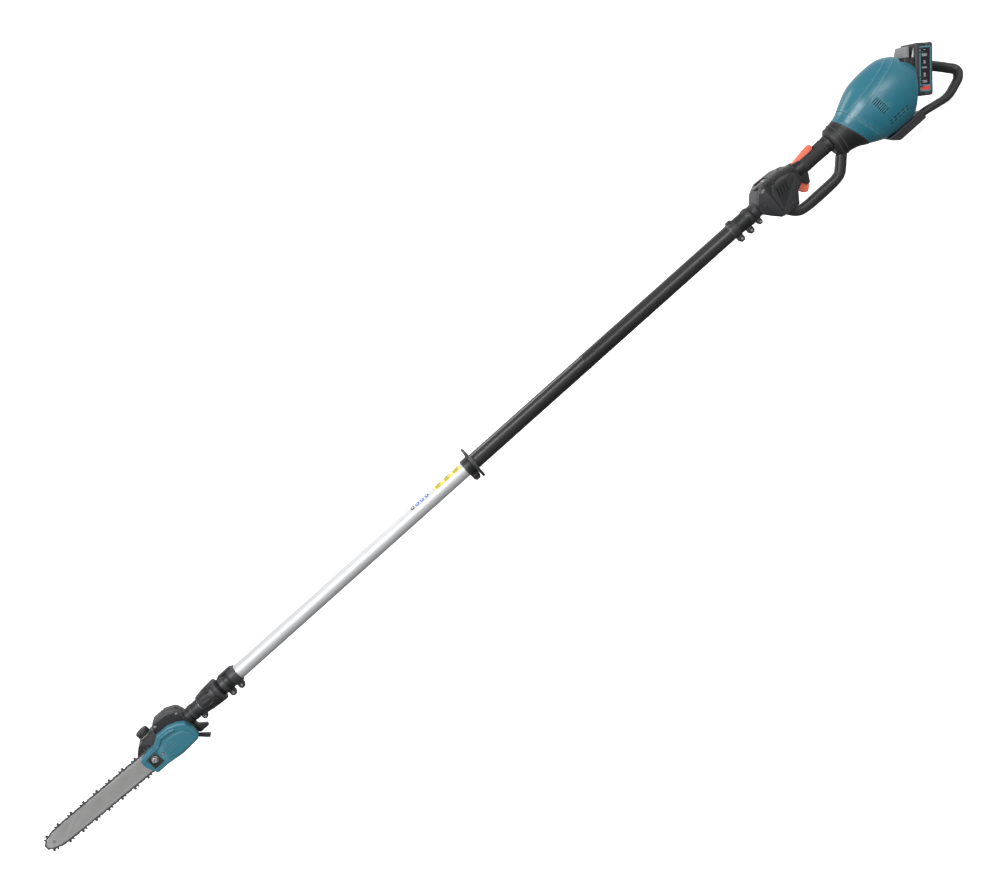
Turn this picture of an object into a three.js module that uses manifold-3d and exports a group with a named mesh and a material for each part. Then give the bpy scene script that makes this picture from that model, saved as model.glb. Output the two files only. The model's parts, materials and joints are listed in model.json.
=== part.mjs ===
// Battery pole saw with a telescoping pole, retracted.
// Millimetres, +Z up. The X axis runs along the pole's centre, from the saw head (-X) to the motor (+X).
// The origin is on that axis at the middle of the rear hand grip. -Y is the sprocket cover's side.
import * as THREE from 'three';
import { mergeVertices } from 'three/addons/utils/BufferGeometryUtils.js';
import Module from 'manifold-3d';

const wasm = await Module();
wasm.setup();

// ---------------------------------------------------------------- driving dimensions
const GAP = 0.3;                 // clearance between neighbouring pieces
const ROUND = 24;                // facets on a turned piece
const SMALL_ROUND = 14;          // facets on a small turned piece

const OUTER_TUBE_R = 17.5;
const OUTER_BORE_R = 15.6;
const INNER_TUBE_R = 15;
const INNER_BORE_R = 13.2;
const SLEEVE_R = 18.6;
const OUTER_FRONT_X = -1757;
const OUTER_REAR_X = -120;
const INNER_FRONT_X = -1868;
const INNER_REAR_X = -290;
const SLEEVE_FRONT_X = -1021;
const SLEEVE_REAR_X = -250;

const ROD_ACROSS = 7;            // square telescoping drive rod
const ROD_FRONT_X = -1700;
const ROD_REAR_X = 114;
const DRIVE_TUBE_R = 6.5;

const GEAR_X = -1934;            // bevel apex: the countershaft's axis crosses the pole's axis
const SPROCKET_X = -1912;
const SPROCKET_Z = -16;
const BAR_Y = -21;               // middle of the guide bar's thickness
const BAR_THICK = 4.6;
const BAR_TILT = THREE.MathUtils.degToRad(1.9);
const BAR_LENGTH = 395;          // sprocket centre to bar tip
const BAR_HALF = 21.2;
const CHAIN_BAND = 4.6;
const CUTTER_HEIGHT = 3.8;
const CUTTER_COUNT = 23;
const BAR_ADJUST = 3.2;          // chain tension travel, with a little to spare
const STUD_U = 80;               // bar stud's distance from the sprocket centre, along the bar

const HULL_Z = -4;               // centre line of the motor housing
const HULL_WIDTH = 0.8;          // housing's width over its height
const SHELL = 3;

// The battery slides on an inclined dock: "along" is the slide direction, "out" points away from the dock.
const DOCK_ALONG = new THREE.Vector3(0.6, 0, 0.8);
const DOCK_OUT = new THREE.Vector3(0.8, 0, -0.6);
const DOCK_FACE = 229.3;         // distance of the housing's rear face from the origin, measured along "out"
const DOCK_BED = 196;
const DOCK_STOP = 123;
const BATTERY_OUT = 271;
const BATTERY_TOP = 237;
const BATTERY_HALF = 39;
const RAIL_HALF = 30;

const GRIP_Z = 4.5;
const GRIP_HALF_Z = 19;
const GRIP_HALF_Y = 17.5;
const BLOCK_HALF = 32;           // half width of the handle's front block

// ---------------------------------------------------------------- finishes
function finish(color, roughness, metalness) {
  return new THREE.MeshStandardMaterial({ color, roughness, metalness });
}
const teal = finish(0x2f7f92, 0.45, 0);
const black = finish(0x26272a, 0.6, 0);
const sleeveBlack = finish(0x303136, 0.4, 0);
const grey = finish(0x6c6e74, 0.55, 0);
const orange = finish(0xe85a3c, 0.5, 0);
const anodised = finish(0xc9cacc, 0.32, 0.9);
const barSteel = finish(0xb4b3b0, 0.35, 0.9);
const darkSteel = finish(0x4c4b48, 0.4, 0.9);
const copper = finish(0xb06b3a, 0.4, 0.8);
const glass = finish(0x101418, 0.15, 0);
const screwSteel = finish(0x9a9a98, 0.35, 0.9);

// ---------------------------------------------------------------- solids
function signedVolume(position, triangles) {
  const a = new THREE.Vector3();
  const b = new THREE.Vector3();
  const c = new THREE.Vector3();
  let volume = 0;
  for (let i = 0; i < triangles.length; i += 3) {
    a.fromBufferAttribute(position, triangles[i]);
    b.fromBufferAttribute(position, triangles[i + 1]);
    c.fromBufferAttribute(position, triangles[i + 2]);
    volume += a.dot(b.cross(c)) / 6;
  }
  return volume;
}

// A closed geometry as a solid for joining and cutting, with its faces pointing out.
function solid(geometry) {
  geometry.deleteAttribute('normal');
  geometry.deleteAttribute('uv');
  const merged = mergeVertices(geometry, 1e-3);
  const index = merged.index.array;
  const triangles = [];
  for (let i = 0; i < index.length; i += 3) {
    const [a, b, c] = index.slice(i, i + 3);
    if (a !== b && b !== c && c !== a) triangles.push(a, b, c);
  }
  if (signedVolume(merged.attributes.position, triangles) < 0) triangles.reverse();
  return new wasm.Manifold(new wasm.Mesh({
    numProp: 3,
    vertProperties: new Float32Array(merged.attributes.position.array),
    triVerts: new Uint32Array(triangles),
  }));
}

const group = new THREE.Group();

function piece(name, body, material) {
  const mesh = body.getMesh();
  const geometry = new THREE.BufferGeometry();
  geometry.setAttribute('position', new THREE.BufferAttribute(new Float32Array(mesh.vertProperties), 3));
  geometry.setIndex(new THREE.BufferAttribute(new Uint32Array(mesh.triVerts), 1));
  geometry.computeVertexNormals();
  const node = new THREE.Mesh(geometry, material);
  node.name = name;
  group.add(node);
}

function joined(bodies) {
  return bodies.reduce((whole, body) => whole.add(body));
}

// Turned body about the X axis from [x, radius] points.
function turnX(profile, z = 0, facets = ROUND, y = 0) {
  const points = profile.map(([x, r]) => new THREE.Vector2(r, x));
  return solid(new THREE.LatheGeometry(points, facets).rotateZ(-Math.PI / 2).translate(0, y, z));
}

// Turned body about an axis parallel to Y from [y, radius] points.
function turnY(profile, x, z, facets = ROUND) {
  const points = profile.map(([y, r]) => new THREE.Vector2(r, y));
  return solid(new THREE.LatheGeometry(points, facets).translate(x, 0, z));
}

function ringX(x0, x1, outer, bore, facets = ROUND) {
  return turnX([[x0, bore], [x0, outer], [x1, outer], [x1, bore], [x0, bore]], 0, facets);
}

function rodX(x0, x1, r, facets = ROUND) {
  return turnX([[x0, 0], [x0, r], [x1, r], [x1, 0]], 0, facets);
}

function rodY(y0, y1, r, x, z, facets = SMALL_ROUND) {
  return turnY([[y0, 0], [y0, r], [y1, r], [y1, 0]], x, z, facets);
}

function ringY(y0, y1, outer, bore, x, z, facets = SMALL_ROUND) {
  return turnY([[y0, bore], [y0, outer], [y1, outer], [y1, bore], [y0, bore]], x, z, facets);
}

function rodZ(z0, z1, r, x, y, facets = SMALL_ROUND) {
  const geometry = new THREE.CylinderGeometry(r, r, z1 - z0, facets);
  return solid(geometry.rotateX(Math.PI / 2).translate(x, y, (z0 + z1) / 2));
}

function block(x0, x1, y0, y1, z0, z1) {
  const geometry = new THREE.BoxGeometry(x1 - x0, y1 - y0, z1 - z0);
  return solid(geometry.translate((x0 + x1) / 2, (y0 + y1) / 2, (z0 + z1) / 2));
}

// Outline from [a, b, corner radius] points, each corner rounded by a curve.
function outline(points) {
  const shape = new THREE.Shape();
  const count = points.length;
  for (let i = 0; i < count; i += 1) {
    const here = new THREE.Vector2(points[i][0], points[i][1]);
    const before = new THREE.Vector2(points[(i + count - 1) % count][0], points[(i + count - 1) % count][1]);
    const after = new THREE.Vector2(points[(i + 1) % count][0], points[(i + 1) % count][1]);
    const shortest = Math.min(before.distanceTo(here), after.distanceTo(here));
    const radius = Math.min(points[i][2] ?? 0, 0.45 * shortest);
    const start = here.clone().add(before.sub(here).setLength(radius));
    const end = here.clone().add(after.sub(here).setLength(radius));
    if (i === 0) shape.moveTo(start.x, start.y);
    else shape.lineTo(start.x, start.y);
    if (radius > 0) shape.quadraticCurveTo(here.x, here.y, end.x, end.y);
  }
  return shape;
}

// Plate with an outline in X and Z, from y0 to y1.
function plate(shape, y0, y1, bevel = 0, curveSegments = 3) {
  const geometry = new THREE.ExtrudeGeometry(shape, {
    depth: y1 - y0 - 2 * bevel,
    bevelEnabled: bevel > 0,
    bevelThickness: bevel,
    bevelSize: bevel,
    bevelOffset: -bevel,
    bevelSegments: 1,
    curveSegments,
  });
  return solid(geometry.rotateX(Math.PI / 2).translate(0, y1 - bevel, 0));
}

// Block on the battery dock, by its spans along "out", across the tool and along the slide.
function dockBlock(out0, out1, y0, y1, along0, along1) {
  const geometry = new THREE.BoxGeometry(out1 - out0, y1 - y0, along1 - along0);
  geometry.translate((out0 + out1) / 2, (y0 + y1) / 2, (along0 + along1) / 2);
  const acrossY = new THREE.Vector3(0, 1, 0);
  geometry.applyMatrix4(new THREE.Matrix4().makeBasis(DOCK_OUT, acrossY, DOCK_ALONG));
  return solid(geometry);
}

// Bar of rounded section swept along a curve.
function sweep(points, inPlane, across, steps) {
  const a = across / 2;
  const b = inPlane / 2;
  const section = new THREE.Shape();
  [[-a, -b / 2], [-a / 2, -b], [a / 2, -b], [a, -b / 2], [a, b / 2], [a / 2, b], [-a / 2, b], [-a, b / 2]]
    .forEach(([u, v], i) => (i === 0 ? section.moveTo(u, v) : section.lineTo(u, v)));
  const path = new THREE.CatmullRomCurve3(points.map((p) => new THREE.Vector3(...p)), false, 'catmullrom', 0.4);
  return solid(new THREE.ExtrudeGeometry(section, { steps, extrudePath: path, curveSegments: 2, bevelEnabled: false }));
}

// Star of straight-sided teeth about the origin, with a tooth at angle "first".
function toothedShape(count, root, tip, rootShare, tipShare, first) {
  const shape = new THREE.Shape();
  const pitch = (2 * Math.PI) / count;
  for (let k = 0; k < count; k += 1) {
    const middle = first + k * pitch;
    const corners = [[-rootShare, root], [-tipShare, tip], [tipShare, tip], [rootShare, root]];
    corners.forEach(([share, r], i) => {
      const angle = middle + (share * pitch) / 2;
      const x = r * Math.cos(angle);
      const y = r * Math.sin(angle);
      if (k === 0 && i === 0) shape.moveTo(x, y);
      else shape.lineTo(x, y);
    });
  }
  shape.closePath();
  return shape;
}

function half(side) {
  const reach = 400;
  if (side < 0) return block(-reach, reach, -reach, -GAP / 2, -reach, reach);
  return block(-reach, reach, GAP / 2, reach, -reach, reach);
}

// Clamp lug below a collar, with its hole for a cross screw.
const LUG_HALF_Y = 8;
function lug(x, bottom, width = 20, top = -12) {
  const shape = outline([
    [x - width / 2 - 3, top, 0], [x - width / 4, bottom, 4], [x + width / 4, bottom, 4], [x + width / 2 + 3, top, 0],
  ]);
  return plate(shape, -LUG_HALF_Y, LUG_HALF_Y, 0);
}

// ---------------------------------------------------------------- pole
function makeTubes() {
  piece('outer_tube', ringX(OUTER_FRONT_X, OUTER_REAR_X, OUTER_TUBE_R, OUTER_BORE_R), anodised);
  piece('inner_tube', ringX(INNER_FRONT_X, INNER_REAR_X, INNER_TUBE_R, INNER_BORE_R), anodised);
  piece('pole_sleeve', ringX(SLEEVE_FRONT_X, SLEEVE_REAR_X, SLEEVE_R, OUTER_TUBE_R + GAP), sleeveBlack);
}

function makeBarrierRing() {
  const collarFront = -1048;
  const flangeRear = -1022;
  const flangeR = 40;
  const lugX = -1039;
  const collar = turnX([
    [collarFront, 0], [collarFront, 19.5], [collarFront + 2, 21], [-1029, 21], [-1029, flangeR - 1],
    [-1028, flangeR], [-1024, flangeR], [flangeRear, flangeR - 2], [flangeRear, 0],
  ], 0, 36);
  const body = collar.add(lug(lugX, -36, 13)).subtract(rodX(-1060, -1010, OUTER_TUBE_R + GAP));
  piece('barrier_ring', body, black);
}

function makeRearClamp() {
  const lugs = [[-237.6, -33.5], [-209.3, -34], [-181.8, -31]];
  const profile = [
    [-249.5, 0], [-249.5, 18.5], [-246, 20.4], [-231, 20.4], [-228, 19.8], [-203, 19.8], [-199, 21.2],
    [-191, 21.2], [-187, 18.6], [-175, 18.6], [-175, 0],
  ];
  let body = turnX(profile);
  lugs.forEach(([x, bottom]) => { body = body.add(lug(x, bottom, x > -190 ? 14 : 18)); });
  piece('rear_pipe_clamp', body.subtract(rodX(-260, -160, OUTER_TUBE_R + GAP)), black);
}

function makeTubeLock() {
  const lugs = [[-1771, -33.6], [-1746, -33.6]];
  const sleeveFront = -1843;
  const sleeveRear = -1787;
  const noseFront = -1812;
  const noseR = 18.6;
  let body = turnX([
    [noseFront, 0], [noseFront, noseR], [-1786, noseR], [-1786, 20.2], [-1780, 20.4], [-1778, 21.4], [-1768, 21.4],
    [-1766, 20.2], [-1754, 20.2], [-1751, 21.4], [-1733, 21.4], [-1733, 0],
  ]);
  lugs.forEach(([x, bottom]) => { body = body.add(lug(x, bottom, 15)); });
  body = body.subtract(rodX(OUTER_FRONT_X - GAP, -1700, OUTER_TUBE_R + GAP));
  piece('tube_lock_body', body.subtract(rodX(-1830, -1750, INNER_TUBE_R + GAP)), black);

  let sleeve = turnX([
    [sleeveFront, 0], [sleeveFront, 22.5], [sleeveFront + 3, 24], [-1797, 27], [-1796, 26], [-1794, 28],
    [-1790, 28], [sleeveRear, 25.5], [sleeveRear, 0],
  ]);
  const fluteCount = 14;
  for (let k = 0; k < fluteCount; k += 1) {
    const angle = (2 * Math.PI * k) / fluteCount;
    const flute = new THREE.CylinderGeometry(2, 2, 40, 6).rotateZ(Math.PI / 2).translate(-1822, 25.8, 0);
    sleeve = sleeve.subtract(solid(flute.rotateX(angle)));
  }
  sleeve = sleeve.subtract(rodX(-1850, -1780, INNER_TUBE_R + GAP));
  sleeve = sleeve.subtract(rodX(-1836, -1780, noseR + 2 * GAP));
  piece('tube_lock_sleeve', sleeve, black);

  const split = block(-1840, -1800, -1.5, 1.5, 10, 25);
  const collet = turnX([
    [-1835, INNER_TUBE_R + GAP], [-1835, 17.2], [-1814, 18.6], [-1814, INNER_TUBE_R + GAP],
    [-1835, INNER_TUBE_R + GAP],
  ]);
  piece('tube_lock_collet', collet.subtract(split), grey);
}

// ---------------------------------------------------------------- drive train in the pole
function makeDriveShafts() {
  const squareRod = block(ROD_FRONT_X, ROD_REAR_X, -ROD_ACROSS / 2, ROD_ACROSS / 2, -ROD_ACROSS / 2, ROD_ACROSS / 2);
  piece('rear_drive_rod', squareRod, darkSteel);
  const clear = ROD_ACROSS / 2 + 0.4;
  const tubeFront = GEAR_X + 20;
  const bore = block(ROD_FRONT_X - 40, INNER_REAR_X - 20, -clear, clear, -clear, clear);
  piece('front_drive_tube', rodX(tubeFront, INNER_REAR_X - 40, DRIVE_TUBE_R, 20).subtract(bore), darkSteel);
  const bushXs = [-1700, -1000];
  bushXs.forEach((x, i) => {
    piece(`shaft_bush_${i + 1}`, ringX(x - 9, x + 9, INNER_BORE_R - GAP, DRIVE_TUBE_R + GAP, 20), grey);
  });
  const guideRear = INNER_REAR_X + 14;
  piece('inner_tube_guide', ringX(INNER_REAR_X + GAP, guideRear, OUTER_BORE_R - 0.4, 9, 24), grey);
  piece('rear_rod_bush', ringX(-160, -144, OUTER_BORE_R - GAP, ROD_ACROSS * 0.75, 20), grey);
}

// ---------------------------------------------------------------- handle
const BLOCK_OUTLINE = [
  [-172, -14, 8], [-172, 12, 8], [-156, 31, 8], [-134, 42, 8], [-88, 39.5, 10], [-54, 28, 6], [-38, 23.5, 1],
  [-30, 23.5, 0], [-30, -14.4, 0], [-40, -33, 3], [-47, -33, 3], [-57, -16, 2], [-74, -22, 3], [-93, -50, 2],
  [-126, -50, 6], [-142, -46, 8], [-160, -25, 6],
];
const BLOCK_ROOM = [
  [-167, -14, 4], [-167, 8, 4], [-154, 26, 4], [-132, 37, 4], [-90, 34.5, 4], [-60, 23, 4], [-34, 19, 1],
  [-34, -10, 1], [-46, -12, 0], [-72, -15, 2], [-97, -45, 2], [-126, -45, 4], [-138, -41, 4], [-156, -22, 4],
];

function gripSolid(x0, x1, halfY, halfZ) {
  const geometry = new THREE.CylinderGeometry(1, 1, x1 - x0, 24).rotateZ(Math.PI / 2);
  return solid(geometry.scale(1, halfY, halfZ).translate((x0 + x1) / 2, 0, GRIP_Z));
}

function triggerShape(grow) {
  return outline([
    [-80 - grow, -15, 2], [-76, -10, 2], [-56 + grow, -10, 2], [-52 + grow, -24, 2], [-41 + grow, -34, 3],
    [-55 + grow, -47 - grow, 4], [-62 - grow, -44 - grow, 3], [-71 - grow, -30, 2],
  ]);
}

function leverShape(grow) {
  return outline([
    [-47 - grow, 23.6, 1], [12 + grow, 32 + grow, 2], [13 + grow, 19, 1], [-30, 16 - grow, 2], [-43 - grow, 16 - grow, 2],
  ]);
}

function makeHandle() {
  const outer = plate(outline(BLOCK_OUTLINE), -BLOCK_HALF, BLOCK_HALF, 3).add(
    gripSolid(-52, 48.5, GRIP_HALF_Y, GRIP_HALF_Z),
  );
  const room = plate(outline(BLOCK_ROOM), -BLOCK_HALF + SHELL, BLOCK_HALF - SHELL).add(
    gripSolid(-60, 60, GRIP_HALF_Y - 2.6, GRIP_HALF_Z - 2.6),
  );
  let shell = outer.subtract(room).subtract(rodX(-200, -100, OUTER_TUBE_R + GAP));
  shell = shell.subtract(plate(triggerShape(1.2), -9.4, 9.4));
  shell = shell.subtract(plate(outline([[-60, -8, 0], [-30, -8, 0], [-38, -36, 0], [-60, -36, 0]]), -9.4, 9.4));
  shell = shell.subtract(plate(leverShape(1), -9.4, 9.4));
  shell = shell.subtract(plate(outline([[-50, 30, 0], [16, 36, 0], [16, 14, 0], [-48, 12, 0]]), -9.4, 9.4));
  shell = shell.subtract(block(-150, -112, -15, 15, 36, 50)).subtract(rodZ(30, 50, 5.6, -82, 0));
  const seat = plate(outline([[-150, 26, 0], [-112, 34, 0], [-112, 36.5, 0], [-150, 36.5, 0]]), -15, 15);
  shell = shell.add(seat.intersect(outer));
  piece('handle_shell_left', shell.intersect(half(-1)), black);
  piece('handle_shell_right', shell.intersect(half(1)), black);
}

function makeControls() {
  piece('trigger', plate(triggerShape(0), -8, 8), orange);
  piece('lock_off_lever', plate(leverShape(0), -8, 8), orange);
  piece('trigger_switch', block(-118, -95, -11, 11, -38, -21), grey);
  piece('display_panel', block(-149.5, -112.5, -14.5, 14.5, 37, 40).subtract(block(-160, -100, -20, 20, 41.5, 50)), glass);
  piece('mode_button', rodZ(35, 39.2, 5, -82, 0), grey);
}

function makeLoopBar() {
  const path = [
    [-120, 0, -40], [-109, 0, -56], [-97, 0, -68], [-80, 0, -71.5], [-45, 0, -71.5], [8, 0, -70.5], [30, 0, -64],
    [50, 0, -46], [72, 0, -22],
  ];
  const bar = sweep(path, 25, 28, 16);
  const belowBlock = block(-200, 200, -40, 40, -200, -50 - GAP);
  const behindBlock = block(-70, 200, -40, 40, -60, 0);
  const clipped = bar.intersect(belowBlock.add(behindBlock)).subtract(hull(GAP));
  piece('loop_handle', clipped.subtract(gripSolid(-60, 60, GRIP_HALF_Y + GAP, GRIP_HALF_Z + GAP)), black);
}

// ---------------------------------------------------------------- motor unit
const HULL_PROFILE = [
  [49, 24], [52, 31], [58, 36], [82, 39.5], [100, 45], [115, 53], [130, 61], [150, 70.5], [170, 76.5], [200, 80],
  [225, 80], [245, 77.5], [262, 71.5], [278, 62], [292, 49], [302, 34], [309, 12],
];

// Egg-shaped hull of the motor unit, grown or shrunk by an even amount.
function hull(grow) {
  const rear = HULL_PROFILE.length - 1;
  const points = HULL_PROFILE.map(([x, r], i) => {
    const shift = i === 0 ? -grow : (i === rear ? grow : 0);
    return new THREE.Vector2(r + grow, x + shift);
  });
  points.unshift(new THREE.Vector2(0, HULL_PROFILE[0][0] - grow));
  points.push(new THREE.Vector2(0, HULL_PROFILE[rear][0] + grow + 1));
  const geometry = new THREE.LatheGeometry(points, 24).rotateZ(-Math.PI / 2);
  return solid(geometry.scale(1, HULL_WIDTH, 1).translate(0, 0, HULL_Z));
}

// Everything ahead of the sloping joint between the black cover and the coloured housing.
function aheadOfJoint(shift) {
  const shape = outline([[-60, 120, 0], [53 + shift, 120, 0], [143 + shift, -120, 0], [-60, -120, 0]]);
  return plate(shape, -120, 120);
}

const HOUSING_BOTTOM_Z = -78;
const GUARD_FOOT_Z = -99;

function makeMotorCovers() {
  const throat = turnX([[40, 0], [40, 14], [70, 14], [70, 22], [200, 22], [200, 0]], 0, 20);
  const cover = hull(0).intersect(aheadOfJoint(-GAP / 2)).subtract(hull(-SHELL)).subtract(throat);
  piece('motor_front_cover', cover, black);

  const dockShell = dockBlock(DOCK_BED - SHELL, 400, -RAIL_HALF - 6.5, RAIL_HALF + 6.5, DOCK_STOP - 4 - SHELL, 400);
  const dockRoom = dockBlock(DOCK_BED, 420, -RAIL_HALF - 3.5, RAIL_HALF + 3.5, DOCK_STOP - 4, 420);
  const behind = dockBlock(DOCK_FACE, 460, -120, 120, -100, 460);
  const flat = block(-60, 400, -120, 120, -140, HOUSING_BOTTOM_Z);
  let shell = hull(0).subtract(hull(-SHELL)).add(dockShell.intersect(hull(0))).subtract(dockRoom);
  shell = shell.add(block(166, 240, -20, 20, HOUSING_BOTTOM_Z, HOUSING_BOTTOM_Z + 3).intersect(hull(0)));
  shell = shell.subtract(behind).subtract(flat).subtract(aheadOfJoint(GAP / 2));
  piece('motor_housing_left', shell.intersect(half(-1)), teal);
  piece('motor_housing_right', shell.intersect(half(1)), teal);
}

function makeMotor() {
  const stator = ringX(135, 172, 43, 28.5);
  const slots = [];
  for (let k = 0; k < 6; k += 1) {
    const slot = new THREE.BoxGeometry(60, 8, 12).translate(153, 0, 30).rotateX((k * Math.PI) / 3);
    slots.push(solid(slot));
  }
  piece('motor_stator', stator.subtract(joined(slots)), copper);
  const rotor = turnX([
    [102, 0], [102, 8], [118, 8], [118, 6], [134, 6], [136, 26], [171, 26], [173, 6], [212, 6], [212, 0],
  ]);
  const socket = block(100, ROD_REAR_X + 0.6, -ROD_ACROSS / 2 - 0.3, ROD_ACROSS / 2 + 0.3, -ROD_ACROSS / 2 - 0.3,
    ROD_ACROSS / 2 + 0.3);
  piece('motor_rotor', rotor.subtract(socket), darkSteel);
  piece('front_bearing', ringX(120, 130, 14, 6 + GAP, 20), screwSteel);
  piece('rear_bearing', ringX(201, 210, 13, 6 + GAP, 20), screwSteel);
  const bracket = turnX([[119, 14 + GAP], [119, 40], [134, 46], [134, 43 + GAP], [131, 36], [131, 14 + GAP],
    [119, 14 + GAP]]);
  piece('motor_bracket', bracket, grey);
  const hub = ringX(176, 194, 12, 6 + GAP, 20);
  const blades = [];
  const bladeCount = 9;
  for (let k = 0; k < bladeCount; k += 1) {
    const blade = new THREE.BoxGeometry(12, 2, 22).rotateZ(0.35).translate(187, 0, 22);
    blades.push(solid(blade.rotateX((2 * Math.PI * k) / bladeCount)));
  }
  piece('cooling_fan', hub.add(ringX(176, 179, 34, 10, 24)).add(joined(blades)), black);
  piece('motor_controller', block(186, 236, -30, 30, -66, -47), grey);
}

function makeRearGuard() {
  const foot = plate(outline([[160, -78.3, 2], [178, GUARD_FOOT_Z, 6], [256, GUARD_FOOT_Z, 2], [256, -78.3, 0]]), -20, 20, 0);
  const path = [
    [236, 0, -88], [262, 0, -89], [300, 2, -97], [330, 8, -103], [362, 20, -99], [392, 34, -90],
    [399, 42, -80], [388, 50, -62], [366, 55, -38], [335, 57, -6], [300, 54, 18], [262, 50, 26],
  ];
  const bar = sweep(path, 18, 24, 24);
  const guard = foot.add(bar).subtract(hull(GAP).subtract(block(-60, 400, -120, 120, -140, HOUSING_BOTTOM_Z)));
  const sit = dockBlock(DOCK_BED - 10, BATTERY_OUT + 1, -BATTERY_HALF - 1, BATTERY_HALF + 1.6, DOCK_STOP - 6, 460);
  piece('rear_guard', guard.subtract(sit), black);
}

function makeBattery() {
  const out0 = DOCK_FACE + GAP;
  const caseSplit = 252;
  const railOut0 = 206;
  const shoulder = dockBlock(railOut0, out0 + 1, -RAIL_HALF, RAIL_HALF, DOCK_STOP + 7, BATTERY_TOP - 6);
  const body = dockBlock(out0, caseSplit - 0.15, -BATTERY_HALF, BATTERY_HALF, DOCK_STOP, BATTERY_TOP);
  const cellRoom = dockBlock(railOut0 + 8, caseSplit + 1, -BATTERY_HALF + 3, BATTERY_HALF - 3, DOCK_STOP + 5,
    BATTERY_TOP - 5).subtract(dockBlock(railOut0, out0 + 3, -99, 99, 0, 999));
  const buttonRoom = dockBlock(railOut0 - 2, railOut0 + 14, -21, 21, 207, BATTERY_TOP);
  const top = body.add(shoulder).subtract(cellRoom).subtract(buttonRoom);
  piece('battery_case', top, black);
  const tray = dockBlock(caseSplit + 0.15, BATTERY_OUT, -BATTERY_HALF, BATTERY_HALF, DOCK_STOP, BATTERY_TOP);
  const trayRoom = dockBlock(caseSplit - 1, BATTERY_OUT - 3, -BATTERY_HALF + 3, BATTERY_HALF - 3, DOCK_STOP + 5,
    BATTERY_TOP - 5);
  piece('battery_tray', tray.subtract(trayRoom), black);
  piece('battery_button', dockBlock(railOut0 + 1, railOut0 + 9, -20, 20, 208, BATTERY_TOP - 7), grey);
  const cellR = 10.6;
  const cells = [];
  for (let k = 0; k < 5; k += 1) {
    const along = DOCK_STOP + 17 + k * 20.2;
    const cell = new THREE.CylinderGeometry(cellR, cellR, 69, 12);
    cell.translate(244, 0, 0).applyMatrix4(
      new THREE.Matrix4().makeBasis(DOCK_OUT, new THREE.Vector3(0, 1, 0), DOCK_ALONG),
    );
    cell.translate(DOCK_ALONG.x * along, 0, DOCK_ALONG.z * along);
    cells.push(solid(cell));
  }
  piece('battery_cells', joined(cells), teal);
  piece('terminal_block', dockBlock(DOCK_BED + GAP, railOut0 - 0.4, -20, 20, 138, 172), grey);
}

// ---------------------------------------------------------------- saw head
function makeNeck() {
  const lugX = -1853;
  let body = turnX([[-1884, 0], [-1884, 17], [-1878, 18.4], [-1850, 18.4], [-1846, 17.6], [-1846, 0]]);
  body = body.add(lug(lugX, -29.5, 8));
  piece('head_neck', body.subtract(rodX(-1900, -1840, INNER_TUBE_R + GAP)), black);
}

const CASE_NEAR_Y = -18;
const CASE_FAR_Y = 30;

function makeGearCase() {
  const shell = plate(outline([
    [-1955, -30, 4], [-1955, 40, 8], [-1946, 46.5, 6], [-1912, 45, 12], [-1890, 34, 10], [-1884.5, 16, 3],
    [-1884.5, -30, 6], [-1892, -39, 6], [-1930, -39, 6],
  ]), CASE_NEAR_Y, CASE_FAR_Y, 3);
  const room = plate(outline([
    [-1952, -27, 4], [-1952, 36, 6], [-1944, 43, 5], [-1913, 42, 10], [-1893, 31, 8], [-1888, 15, 3],
    [-1888, -29, 5], [-1894, -36.2, 5], [-1930, -36.2, 5],
  ]), CASE_NEAR_Y + 1.2, CASE_FAR_Y - SHELL);
  let body = shell.subtract(room);
  body = body.subtract(rodX(-1900, -1870, DRIVE_TUBE_R + 4));
  body = body.subtract(rodY(-30, -10, 6.5, SPROCKET_X, SPROCKET_Z));
  piece('gear_case', body, black);
  piece('pinion_bearing', ringX(-1907, -1899, 11.2, DRIVE_TUBE_R + GAP, 20), screwSteel);
}

const BEVEL_PINION_TEETH = 12;
const BEVEL_GEAR_TEETH = 18;
const SPUR_PINION_TEETH = 13;
const SPUR_GEAR_TEETH = 23;
const BEVEL_PINION_REACH = 13.5; // bevel apex to the pinion's large end, and the gear's pitch radius
const BEVEL_GEAR_REACH = 9;      // bevel apex to the gear's large end, and the pinion's pitch radius

// Toothed cone with its apex at the origin, its large end at z = reach, cut off at "share" of that.
function toothedCone(count, pitchR, reach, share, first) {
  const shape = toothedShape(count, pitchR - 1.5, pitchR + 0.9, 0.44, 0.2, first);
  const depth = reach * (1 - share);
  const geometry = new THREE.ExtrudeGeometry(shape, { depth, bevelEnabled: false, steps: 1 });
  geometry.translate(0, 0, reach - depth);
  const position = geometry.attributes.position;
  for (let i = 0; i < position.count; i += 1) {
    const scale = position.getZ(i) / reach;
    position.setXYZ(i, position.getX(i) * scale, position.getY(i) * scale, position.getZ(i));
  }
  return geometry;
}

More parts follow.
